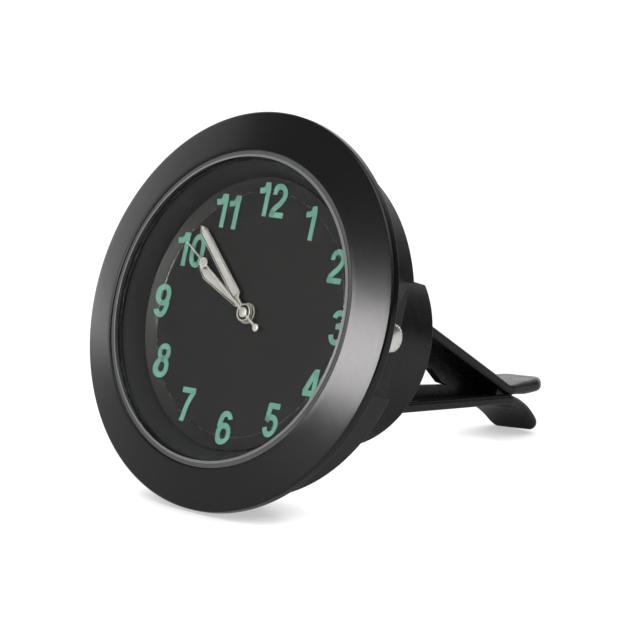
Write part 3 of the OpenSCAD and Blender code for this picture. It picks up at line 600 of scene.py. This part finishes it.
def bezel():
    """The bezel's section, its sloping face bulged by a shallow parabola, turned round."""
    share = np.linspace(0, 1, 9)[:, None]
    inner, outer = np.array([SIGHT_R + SIGHT_EDGE, -FACE_RISE]), np.array([RIM_R - RIM_EDGE, 0.0])
    slope = inner + (outer - inner)*share
    normal = np.array([-(outer - inner)[1], (outer - inner)[0]])
    bulge = -normal/np.linalg.norm(normal)*FACE_BULGE*4*share*(1 - share)
    back = [[RIM_R, RIM_EDGE], [RIM_R, RIM_T - RIM_EDGE], [RIM_R - RIM_EDGE, RIM_T],
            [SPIGOT_R, RIM_T], [SPIGOT_R, SPIGOT_DEPTH], [SIGHT_R, SPIGOT_DEPTH],
            [SIGHT_R, GLASS_BACK + LEDGE_T], [LEDGE_R, GLASS_BACK + LEDGE_T],
            [LEDGE_R, GLASS_BACK], [SIGHT_R, GLASS_BACK], [SIGHT_R, -FACE_RISE + SIGHT_EDGE]]
    outline = rounded(np.vstack([slope + bulge, back]), BEZEL_ARC_R)
    grid_piece("bezel_plated", [turned(outline)], BEZEL_PLATE, "clock", ["bezel"])


def ringed(piece, material, inner, outer):
    """Gives the faces that lie between two radii, and look out of the clock, their own material."""
    mesh = piece.data
    mesh.materials.append(material)
    middles, directions = (np.empty(3*len(mesh.polygons)) for _ in range(2))
    mesh.polygons.foreach_get("center", middles)
    mesh.polygons.foreach_get("normal", directions)
    reach = np.linalg.norm(np.cross(middles.reshape(-1, 3) - FACE_CENTRE, OUT_OF_FACE), axis=1)/MM
    facing = directions.reshape(-1, 3) @ np.array(OUT_OF_FACE)
    ring = (reach > inner) & (reach < outer) & (facing > LEAST_FACING)
    mesh.polygons.foreach_set("material_index", ring.astype(np.int32))


def crystal():
    """The glass: a flat disc with a ground bevel, its section closed at the axis."""
    arcs, inside = 5, 1
    edge = rounded([[GLASS_R - GLASS_BEVEL, GLASS_TOP], [GLASS_R, GLASS_TOP + GLASS_DROP],
                    [GLASS_R, GLASS_BACK], [inside, GLASS_BACK], [inside, GLASS_TOP]],
                   GLASS_ARRIS, arcs)[:3*arcs]
    front_r, back_r = edge[0][0], edge[-1][0]
    front = [[r, GLASS_TOP] for r in (0, GUARD_R, front_r - GUARD_INNER, front_r - GUARD_OUTER)]
    back = [[r, GLASS_BACK] for r in (back_r - GUARD_OUTER, back_r - GUARD_INNER, GUARD_R, 0)]
    sheet = turned(np.vstack([front, edge, back]), open_ends=True)
    piece = grid_piece("crystal_pane", [sheet], GLASS, "clock", ["crystal"], 60)
    ringed(piece, GROUND_GLASS, GLASS_R - GLASS_BEVEL, GLASS_R)


def flange():
    """The sloping inner wall: its section turned round, with small arcs at its edges."""
    wall, shoulder = SIGHT_R - WALL_GAP, SHOULDER_R - FLANGE_GAP
    outline = rounded([[LEDGE_R + FLANGE_GAP, GLASS_BACK + LEDGE_T], [wall, GLASS_BACK + LEDGE_T],
                       [wall, SPIGOT_DEPTH], [shoulder, SPIGOT_DEPTH], [shoulder, DIAL_DEPTH],
                       [DIAL_SHOW_R, DIAL_DEPTH]], FLANGE_ARC_R, 3)
    grid_piece("flange_painted", [turned(outline)], FLANGE_LACQUER, "clock",
               ["flange_ring"])


def dial():
    """The dial: a thin ring whose border is dished up a little, outside a fine bead."""
    back, edge_r = DIAL_DEPTH + DIAL_T, DIAL_R - DIAL_GAP
    outline = [[DIAL_HOLE_R, DIAL_DEPTH + DIAL_EDGE], [DIAL_HOLE_R + DIAL_EDGE, DIAL_DEPTH],
               [DISH_R - 2*BEAD_W, DIAL_DEPTH], [DISH_R - BEAD_W, DIAL_DEPTH - BEAD_H],
               [DISH_R, DIAL_DEPTH], [DISH_RIM_R, DIAL_DEPTH - DISH_RISE],
               [DISH_RIM_R + DISH_STEP_W, DIAL_DEPTH - DISH_STEP],
               [edge_r, DIAL_DEPTH + DISH_STEP], [edge_r, back], [DIAL_HOLE_R, back]]
    piece = grid_piece("dial_plate", [turned(outline)], DIAL_LACQUER_AND_SHADE, "clock",
                       ["dial"], 5)
    ringed(piece, RING_LACQUER, DISH_R - 2*BEAD_W, DISH_R)


# Numerals


def arc(centre, radii, start, end, power=2.0, steps=21):
    """Points of part of a superellipse, by its middle, its two radii and two angles."""
    a = np.radians(np.linspace(start, end, steps))
    c, s = np.cos(a), np.sin(a)
    reach = (np.abs(c)**power + np.abs(s)**power)**(-1/power)
    return np.stack([centre[0] + radii[0]*c*reach, centre[1] + radii[1]*s*reach], 1)


def digit_strokes():
    """The middle lines of each digit's strokes in a box one high, from lines and superellipses."""
    e = STROKE/2
    mid, top = DIGIT_W/2, 1 - e
    side = mid - e
    six = [np.vstack([arc((mid, 0.5), (side, top - 0.5), 178, 90, 2.3),
                      arc((mid, 0.73), (side*0.9, top - 0.73), 88, 12)]),
           arc((mid, 0.325), (side, 0.325 - e), 0, 360, 2.2, 33)]
    return {
        "0": [arc((mid, 0.5), (side, 0.5 - e), 0, 360, 2.5, 41)],
        "1": [[[0.325, 0], [0.325, 1]],
              [[0.0, 0.735], [0.12, 0.745], [0.21, 0.785], [0.27, 0.87], [0.29, 0.97]]],
        "2": [np.vstack([arc((mid, 0.7), (side, top - 0.7), 188, -32, 2.2),
                         [[0.35, 0.42], [0.2, 0.29], [0.115, 0.19], [0.08, 0.03]]]),
              [[0.02, e], [DIGIT_W - 0.02, e]]],
        "3": [arc((mid, 0.735), (side*0.92, top - 0.735), 172, -88, 2.1),
              arc((mid, 0.305), (side, 0.305 - e + 0.02), 92, -172, 2.1),
              [[0.2, 0.53], [mid + 0.02, 0.53]]],
        "4": [[[0.405, 0], [0.405, 1]], [[0.0, 0.285], [DIGIT_W, 0.285]],
              [[0.36, 0.93], [0.05, 0.31]]],
        "5": [[[0.11, top], [DIGIT_W - 0.05, top]], [[0.155, 0.96], [0.115, 0.46]],
              arc((mid - 0.005, 0.335), (side, 0.335 - e), 152, -168, 2.2)],
        "6": six,
        "7": [[[0.02, top], [DIGIT_W - 0.02, top]],
              [[0.5, 0.9], [0.395, 0.73], [0.31, 0.53], [0.25, 0.3], [0.22, 0.0]]],
        "8": [arc((mid, 0.735), (side*0.87, top - 0.735), 0, 360, 2.1, 33),
              arc((mid, 0.3), (side, 0.3 - e + 0.02), 0, 360, 2.1, 33)],
        "9": [np.array([DIGIT_W, 1]) - stroke for stroke in six],
    }


def dense(line, step=0.12):
    """The same line with points added along its straight stretches, at most a step apart."""
    run = running(line)
    return along_line(line, np.union1d(run, np.arange(0, run[-1], step)))


def dial_depth(points):
    """The dial's depth, which falls from the dish's foot to its rim in proportion to the radius."""
    share = (np.hypot(*points.T) - DISH_R)/(DISH_RIM_R - DISH_R)
    return DIAL_DEPTH - DISH_RISE*np.clip(share, 0, 1)


def ribbon(line, half_width):
    """A layer of ink along a line of x and y: each point gives two corners to each side of it, half
    a width away along the line's normal, on the dial and an ink's thickness above it."""
    normal = normals(line)*half_width
    sides = [line + side*normal for side in (1, 1, -1, -1, 1)]
    layers = [0, INK_T, INK_T, 0, 0]
    return closed_ends(np.stack([np.c_[side, dial_depth(side) - ink]
                                 for side, ink in zip(sides, layers)], 1))


def numerals():
    """Twelve upright hour numbers, their middles on an ellipse, in strokes of one width."""
    strokes = digit_strokes()
    sheets = []
    for hour in range(1, 13):
        angle = math.radians(90 - 30*hour)
        place = [NUMERALS_X*math.cos(angle), NUMERALS_Y*math.sin(angle)]
        text, shift = str(hour), NUMERAL_SHIFT.get(hour, (0, 0))
        widths = [ONE_STEP if digit == "1" else DIGIT_W + 2*DIGIT_SPACE for digit in text]
        start = -sum(widths)/2
        for digit, width in zip(text, widths):
            left = start + (ONE_LEFT if digit == "1" else DIGIT_SPACE)
            for line in strokes[digit]:
                line = (np.asarray(line) + [left, -0.5])*NUMERAL_H + place + shift
                sheets.append(ribbon(dense(line), STROKE/2*NUMERAL_H))
            start += width
    grid_piece("dial_numerals", sheets, INK, "clock")


# Hands


def both_sides(left, crest=()):
    """A hand's section: its left half, its crest, and the left half mirrored. Each point is a share
    of the half width, with a depth."""
    return [*left, *crest, *((-share, depth) for share, depth in reversed(left))]


def blade(shape, section, angle):
    """A hand's bar: the half width follows shape along y, and scales the section's shares."""
    y, half = np.asarray(shape, float).T
    rows = np.stack([np.stack([half*share, y, np.full(len(y), depth)], 1)
                     for share, depth in [*section, section[0]]], 1)
    return turned_clockwise(closed_ends(rows), angle)


def boss(radius, bore, front, back, angle, at=0.0, edge=0.03):
    """A round boss with a hole, or a solid disc where bore is 0, at a distance along the hand."""
    arcs = 4
    outline = rounded([[bore, front], [radius, front], [radius, back], [bore, back]], edge, arcs)
    if bore:
        points = turned(outline, SMALL_ROUND)
    else:
        rim = outline[arcs:3*arcs]
        points = turned(np.vstack([[0, front], rim, [0, back]]), SMALL_ROUND, True)
    return turned_clockwise(points + [0, at, 0], angle)


def inset(shape, by, start, end):
    """The same outline drawn in by a margin and cut to a stretch of its length."""
    y, half = np.asarray(shape, float).T
    ys = np.linspace(start, end, 24)
    return np.stack([ys, np.maximum(np.interp(ys, y, half) - by, 0.0)], 1)


def clock_hand(kind):
    """A pointed hand: a steel bar with bevelled rims and a hub, a dark bed between the rims that is
    painted shade for the groove, and luminous enamel on the bed."""
    front, angle, shape = HAND_FRONT[kind], HAND_ANGLE[kind], HAND_SHAPE[kind]
    back, body = front + HAND_T, f"{kind}s"
    rims = both_sides([(-1, back), *((-share, front + drop) for share, drop in HAND_RIM)])
    hub = boss(HUB_R[kind], HAND_BORE[kind], front + HUB_DROP, back, angle, edge=HUB_EDGE_R)
    grid_piece(f"{kind}_hand_steel", [blade(shape, rims, angle), hub], HAND_STEEL, body,
               [f"{kind}_hand"], 20)
    # A dark strip under the enamel, wider than it: painted shade in the grooves beside the enamel
    painted_shade = both_sides([(-SHADE_BED_SHARE, front + SHADE_BED_FOOT), (-SHADE_BED_SHARE, front + SHADE_BED_TOP)])
    bed = blade(inset(shape, 0.0, *LUME_STRETCH[kind]), painted_shade, angle)
    grid_piece(f"{kind}_hand_painted_shade", [bed], DIAL_LACQUER_AND_SHADE, body, (), 20)
    enamel = both_sides([(-1, front + LUME_FOOT), (-1, front + LUME_SIDE)],
                        [(0, front + LUME_CREST)])
    strip = blade(inset(shape, LUME_INSET, *LUME_STRETCH[kind]), enamel, angle)
    grid_piece(f"{kind}_hand_lume", [strip], LUME, body, (), 20)


def second_hand():
    """The second hand: a needle with a hub cap, a weight on its tail and a luminous dot."""
    front, angle = HAND_FRONT["second"], HAND_ANGLE["second"]
    back = front + HAND_T
    roof = both_sides([(-1, back), (-1, front + NEEDLE_SIDE)], [(0, front + NEEDLE_CREST)])
    bosses = [boss(radius, bore, front + drop, back, angle, at, edge)
              for radius, bore, drop, at, edge in NEEDLE_BOSSES]
    grid_piece("second_hand_steel", [blade(HAND_SHAPE["second"], roof, angle), *bosses],
               HAND_STEEL, "seconds", ["second_hand"], 20)
    # A dark ring in the groove round the hub's cap: painted shade
    groove = boss(GROOVE_R, GROOVE_BORE, front + GROOVE_DROP, back, angle)
    grid_piece("second_hand_painted_shade", [groove], DIAL_LACQUER_AND_SHADE, "seconds")
    dot = boss(DOT_R, 0.0, front - DOT_LIFT, back - DOT_LIFT, angle, DOT_AT, DOT_EDGE_R)
    grid_piece("second_hand_lume", [dot], LUME, "seconds")


# Crown


def crown():
    """The crown: a shallow dome turned about the stem's axis, with a bore for the stem, and a rim
    whose radius swells and sinks with the cosine of the angle."""
    profile = np.array([
        [CROWN_OUT - 0.02, 0.0], [CROWN_OUT - 0.03, 0.3], [CROWN_OUT - 0.07, 0.7],
        [CROWN_OUT - 0.14, 1.05], [CROWN_OUT - 0.2, 1.22], [CROWN_OUT - 0.3, 1.36],
        [CROWN_OUT - 0.42, 1.44], [CROWN_IN + 0.12, 1.45], [CROWN_IN + 0.04, 1.41],
        [CROWN_IN, 1.32], [CROWN_IN, STEM_R], [CROWN_IN + BORE_DEEP, STEM_R],
        [CROWN_IN + BORE_DEEP, 0.0]])
    angle = np.linspace(0, 2*np.pi, FLUTES*FLUTE_STEPS + 1)
    x, r = profile[:, :1], profile[:, 1:]
    r = r - FLUTE_HALF*(1 - np.cos(FLUTES*angle))*np.clip((r - FLUTE_FROM_R)/FLUTE_RAMP, 0, 1)
    sheet = np.stack(np.broadcast_arrays(x, r*np.cos(angle), STEM_DEPTH + r*np.sin(angle)), -1)
    grid_piece("crown_fluted", [sheet], CROWN_STEEL, "crown", ["crown"], 40)


# The clip's leaves


def leaf_line(slope, lip_slope, bends):
    """A leaf's middle line as depth and distance from the clip's middle plane: a straight run
    towards the plane, an arc about the elbow, a second arc that flares the lip, and a straight tip.

    The bends are the elbow's depth and radius, the flare's slope, the lip's radius and the tip's
    length. Slopes are in degrees.
    """
    elbow_at, elbow_r, flare, lip_r, tip_len = bends
    middle = (JAW_GAP + (LEAF_T + LIP_T)/2)/2
    a = np.radians(np.linspace(-slope, flare, 33))
    elbow = [elbow_at, middle] + elbow_r*np.stack([np.sin(a), 1 - np.cos(a)], 1)
    a = np.radians(np.linspace(flare, lip_slope, 17))
    curve = elbow[-1] + lip_r*np.stack([np.sin(a) - np.sin(a[0]), np.cos(a[0]) - np.cos(a)], 1)
    root = [ROOT_DEPTH, elbow[0, 1] + (elbow[0, 0] - ROOT_DEPTH)*math.tan(math.radians(slope))]
    tip = curve[-1] + tip_len*np.array([math.cos(a[-1]), math.sin(a[-1])])
    return np.vstack([root, elbow, curve[1:], tip])


def leaf_half_width(depth, tip, corner_r):
    """Half the width of a leaf at a depth: straight, then narrowing, then a quarter circle."""
    straight = ELBOW_DEPTH + NARROW_AFTER
    narrow = math.atan((LEAF_W - LIP_W)/2/(tip - straight))
    edge = LEAF_W/2 - np.maximum(depth - straight, 0)*math.tan(narrow)
    end = tip - corner_r
    corner_x = LEAF_W/2 - (end - straight)*math.tan(narrow) - corner_r/math.cos(narrow)
    bend = corner_x + np.sqrt(np.maximum(corner_r**2 - (depth - end)**2, 0))
    return np.where(depth > end + corner_r*math.sin(narrow), bend, edge)


def leaf_sheet(line, up, corner_r, lip_more):
    """A leaf's blade: a section with round edges is carried along the middle line, across it by the
    line's normal, and drawn in over the last stretch by a quarter circle, so that the end is round
    too. Its thickness changes with the square of the share of the length, and the lip gains
    lip_more by a smooth step past the elbow."""
    length = running(line)[-1]
    s = length*np.r_[np.linspace(0, 1 - TIP_SHARE, 90),
                     1 - TIP_SHARE*np.cos(np.linspace(0, math.pi/2, 34)[1:])]
    centre = along_line(line, s)
    normal = normals(centre, s)
    share = (centre[:, 0] - line[0, 0])/(line[-1, 0] - line[0, 0])
    flared = np.clip((centre[:, 0] - ELBOW_DEPTH)/FLARE_LENGTH, 0, 1)
    thick = (LEAF_T + (LIP_T - LEAF_T)*share**2 + lip_more*flared**2*(3 - 2*flared))/2
    wide = leaf_half_width(centre[:, 0], line[-1, 0], corner_r)
    ending = np.clip((s - s[-1] + thick[-1])/thick[-1], 0, 1)
    drawn_in = 1 - np.sqrt(1 - ending**2)
    edge_r = np.minimum(LEAF_EDGE_R + FLARE_EDGE_R*flared, 0.9*thick)
    wide, thick = wide - edge_r*drawn_in, thick*(1 - drawn_in) + END_HALF_T
    edge_r = np.minimum(edge_r, thick)
    steps, quarters = 7, np.array([0, 90, 180, 270])
    a = np.radians(np.r_[(quarters[:, None] + np.linspace(0, 90, steps)).ravel(), 360.0])
    middles = np.radians(np.r_[np.repeat(quarters + 45, steps), 45])
    x = np.sign(np.cos(middles))*(wide - edge_r)[:, None] + edge_r[:, None]*np.cos(a)
    t = np.sign(np.sin(middles))*(thick - edge_r)[:, None] + edge_r[:, None]*np.sin(a)
    touch = TOUCH_H*np.exp(-((centre[:, :1] - ELBOW_DEPTH - TOUCH_AT)/TOUCH_REACH)**2)
    t = t - np.where(t < 0, touch, 0)
    depth = centre[:, :1] + t*normal[:, :1]
    height = up*(centre[:, 1:] + t*normal[:, 1:]) - CLIP_DROP
    return closed_ends(np.stack([x, height, depth], -1))


def root_bead(line, up):
    """The round bead across a leaf's root: a cylinder with closed ends."""
    x, turn = np.meshgrid(LEAF_W/2*np.array([-1, -1, 1, 1]),
                          np.linspace(0, 2*np.pi, SMALL_ROUND + 1), indexing="ij")
    radius = (LEAF_T/2 + ROOT_BEAD)*np.array([0, 1, 1, 0])[:, None]
    return np.stack([x, up*line[0, 1] - CLIP_DROP + radius*np.sin(turn),
                     ROOT_DEPTH + radius*np.cos(turn)], -1)


def web(line, edge, up, width):
    """A bar under a leaf, of one width, from the leaf's middle line to an edge given by points."""
    depth = np.union1d(np.linspace(edge[0][0], edge[-1][0], 40), [at for at, _ in edge])
    inner = np.interp(depth, *np.transpose(edge))
    outer = np.interp(depth, *line.T)
    heights = [up*v - CLIP_DROP for v in (outer, outer, inner, inner, outer)]
    sides = width/2*np.array([-1, 1, 1, -1, -1])
    return closed_ends(np.stack([np.stack([np.full(len(depth), x), height, depth], 1)
                                 for x, height in zip(sides, heights)], 1))


def leaf(side, up, slope, lip_slope, bends, corner_r, rib_edge, lip_more=0.0):
    """A sprung leaf: its blade, the bead on its root, and the rib and grip pad under it."""
    line = leaf_line(slope, lip_slope, bends)
    sheets = [leaf_sheet(line, up, corner_r, lip_more), root_bead(line, up),
              web(line, rib_edge, up, RIB_W), web(line, PAD_EDGE, up, PAD_W)]
    upright = [turned_clockwise(sheet, -DIAL_TURN) for sheet in sheets]
    grid_piece(f"{side}_leaf_moulded", upright, CLIP_NYLON, f"{side}_leaf",
               [f"{side}_leaf"], 50)


# CAD pieces, with rounded edges or as they are


def refined(node, name, edge_mm, material):
    """A copy of a CAD piece: loose triangles merged, flat faces joined, edges rounded."""
    shell = bmesh.new()
    shell.from_mesh(frame["nodes"][node].data)
    bmesh.ops.remove_doubles(shell, verts=shell.verts, dist=CAD_MERGE_M)
    bmesh.ops.dissolve_limit(shell, angle_limit=math.radians(CAD_FLAT_DEG),
                             verts=shell.verts, edges=shell.edges)
    mesh = bpy.data.meshes.new(name)
    shell.to_mesh(mesh)
    shell.free()
    shaded(mesh, CAD_SHARP_DEG)
    piece = bpy.data.objects.new(name, mesh)
    bevel = piece.modifiers.new("rounded_edges", "BEVEL")
    bevel.width = edge_mm*MM
    bevel.segments = CAD_EDGE_STEPS
    bevel.limit_method = "ANGLE"
    bevel.angle_limit = math.radians(CAD_SHARP_DEG)
    bevel.harden_normals = True
    bevel.use_clamp_overlap = False
    dressed(piece, material, frame["nodes"][node]["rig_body"], [node])


def coat(material, *nodes):
    """Gives CAD pieces that stay as they are their material."""
    for name in nodes:
        mesh = frame["nodes"][name].data
        mesh.materials.clear()
        mesh.materials.append(material)


bezel()
crystal()
flange()
dial()
numerals()
clock_hand("hour")
clock_hand("minute")
second_hand()
crown()
refined("case_body", "case_shell", 0.1, CASE_ABS)
refined("clip_base", "clip_housing", 0.14, CLIP_NYLON)
leaf("upper", 1, slope=14.6, lip_slope=17, bends=(38.6, 2, 11, 40, 2.495), corner_r=2.3,
     lip_more=0.5,
     rib_edge=((18.3, 3.95), (29.86, 0.71), (31.7, -0.31), (32.6, -0.355), (38.9, PAD_GAP)))
leaf("lower", -1, slope=13, lip_slope=37, bends=(39.7, 8.5, 25, 8, 0.7), corner_r=1.3,
     rib_edge=((18.3, 3.12), (29.4, 0.97), (32.6, 0.37), (38.9, PAD_GAP)))
refined("case_back", "case_back_turned", 0.08, BACK_STEEL)
coat(CLEAR_NYLON, "crystal_gasket")
coat(SEAL_NYLON, "back_gasket")
coat(FOAM, "foam_pad")
coat(ACETAL, "movement_ring", "intermediate_wheel", "rotor")
coat(BRASS, "crown_tube", "clutch_wheel", "main_plate", "train_bridge", "hour_wheel",
     "minute_wheel", "setting_wheel", "centre_wheel", "third_wheel", "seconds_wheel",
     "battery_strap")
coat(WORK_STEEL, "stem", "setting_lever", "yoke", "stator", "coil_core", "quartz_can", "battery",
     "movement_screws")
coat(COPPER, "coil")
coat(BOARD, "circuit_board")


# Floor, lamps, world and camera


def glowing(tree, hex_colour, strength):
    """A matt shader that glows as well."""
    matt = add(tree, "ShaderNodeBsdfDiffuse", {"Color": linear(hex_colour)})
    glow = add(tree, "ShaderNodeEmission", {"Strength": strength})
    return add(tree, "ShaderNodeAddShader", {
        0: matt.outputs["BSDF"], 1: glow.outputs["Emission"]}).outputs["Shader"]


def white_card():
    # Matt white card: the camera sees it nearly white, darkened only by the shadow that the clock's
    # nearness casts all round its feet. Reflections see it pale, and what it scatters is greyer.
    material, tree = empty_material("white_card")
    path = add(tree, "ShaderNodeLightPath")
    card = add(tree, "ShaderNodeBsdfDiffuse", {"Color": linear("#B4B4B5")})
    mirrored = glowing(tree, "#E4E4E5", 0.1)
    near = add(tree, "ShaderNodeAmbientOcclusion", {"Distance": SHADOW_REACH}, samples=16)
    seen = glowing(tree, "#707070", ranged(tree, near.outputs["AO"], SHADOW_OPEN, SHADOW_LIGHT))
    unseen = add(tree, "ShaderNodeMixShader", {
        0: bounced(tree, path.outputs["Diffuse Depth"]), 1: mirrored, 2: card.outputs["BSDF"]})
    mixed = add(tree, "ShaderNodeMixShader", {
        0: path.outputs["Is Camera Ray"], 1: unseen.outputs["Shader"], 2: seen})
    add(tree, "ShaderNodeOutputMaterial", {"Surface": mixed.outputs["Shader"]})
    return material


def floor():
    """A large round floor under the clock: rings of points on circles round its middle."""
    angle = np.linspace(0, 2*np.pi, FLOOR_SIDES + 1)
    ring = np.stack([np.cos(angle), np.sin(angle), np.zeros_like(angle)], 1)
    corners = np.concatenate([ring*radius for radius in FLOOR_RINGS_M])
    mesh = finished_mesh("studio_floor", corners, grid_faces(len(FLOOR_RINGS_M), FLOOR_SIDES + 1))
    if mesh.polygons[0].normal.z < 0:
        mesh.flip_normals()
    mesh.materials.append(white_card())
    piece = bpy.data.objects.new("studio_floor", mesh)
    bpy.context.scene.collection.objects.link(piece)


def softbox(name, azimuth, elevation, distance, width, height, radiance, colour=(1, 1, 1)):
    """A rectangular lamp that faces the clock, in a direction from the front and the floor."""
    a, e = math.radians(azimuth), math.radians(elevation)
    towards = Vector((math.sin(a)*math.cos(e), -math.cos(a)*math.cos(e), math.sin(e)))
    lamp = bpy.data.lights.new(name, "AREA")
    lamp.shape = "RECTANGLE"
    lamp.size, lamp.size_y = width, height
    lamp.color = colour
    lamp.energy = radiance*math.pi*width*height
    made = bpy.data.objects.new(name, lamp)
    made.location = FACE_CENTRE + towards*distance
    made.rotation_euler = towards.to_track_quat("Z", "Y").to_euler()
    made.visible_camera = False
    bpy.context.scene.collection.objects.link(made)


def studio():
    """Soft lamps in front, beside and above, and a world that the camera sees as white."""
    for lamp in LAMPS:
        softbox(*lamp)
    world = bpy.data.worlds.new("studio_world")
    bpy.context.scene.world = world
    world.use_nodes = True
    tree = world.node_tree
    tree.nodes.clear()
    path = add(tree, "ShaderNodeLightPath")
    ray = add(tree, "ShaderNodeTexCoord").outputs["Generated"]
    # Mirrored rays see a white backdrop behind the clock, and a room that is darkest low down
    facing = add(tree, "ShaderNodeVectorMath", {0: ray, 1: direction(CAMERA_FORWARD)},
                 operation="DOT_PRODUCT").outputs["Value"]
    backdrop = ranged(tree, facing, BACKDROP_FACING, (0.0, 1.0))
    height = add(tree, "ShaderNodeSeparateXYZ", {"Vector": ray}).outputs["Z"]
    room = ranged(tree, height, ROOM_HEIGHT, ROOM_LIGHT)
    mirrored = add(tree, "ShaderNodeMath", {0: room, 1: backdrop}, operation="MAXIMUM").outputs[0]
    # What has been mirrored or scattered once isn't the camera's own view any more
    glossy = bounced(tree, path.outputs["Glossy Depth"])
    scattered = bounced(tree, path.outputs["Diffuse Depth"])
    first = add(tree, "ShaderNodeMix", {0: glossy, 2: 1.0, 3: mirrored}).outputs[0]
    total = add(tree, "ShaderNodeMix", {0: scattered, 2: first, 3: MATT_LIGHT}).outputs[0]
    sky = add(tree, "ShaderNodeBackground", {"Color": linear("#FFFFFF"), "Strength": total})
    add(tree, "ShaderNodeOutputWorld", {"Surface": sky.outputs["Background"]})


def camera():
    """The camera at the photograph's place, looking along its forward direction."""
    forward, right = direction(CAMERA_FORWARD), direction(CAMERA_RIGHT)
    up = right.cross(forward)
    lens = bpy.data.cameras.new("camera")
    lens.lens, lens.sensor_width = CAMERA_LENS, CAMERA_SENSOR
    lens.clip_start, lens.clip_end = CAMERA_CLIP
    made = bpy.data.objects.new("camera", lens)
    turn = Matrix([right, up, -forward]).transposed().to_4x4()
    made.matrix_world = Matrix.Translation(Vector(in_object(CAMERA_AT))) @ turn
    bpy.context.scene.collection.objects.link(made)
    bpy.context.scene.camera = made


floor()
studio()
camera()
bpy.context.scene.view_settings.view_transform = "Standard"
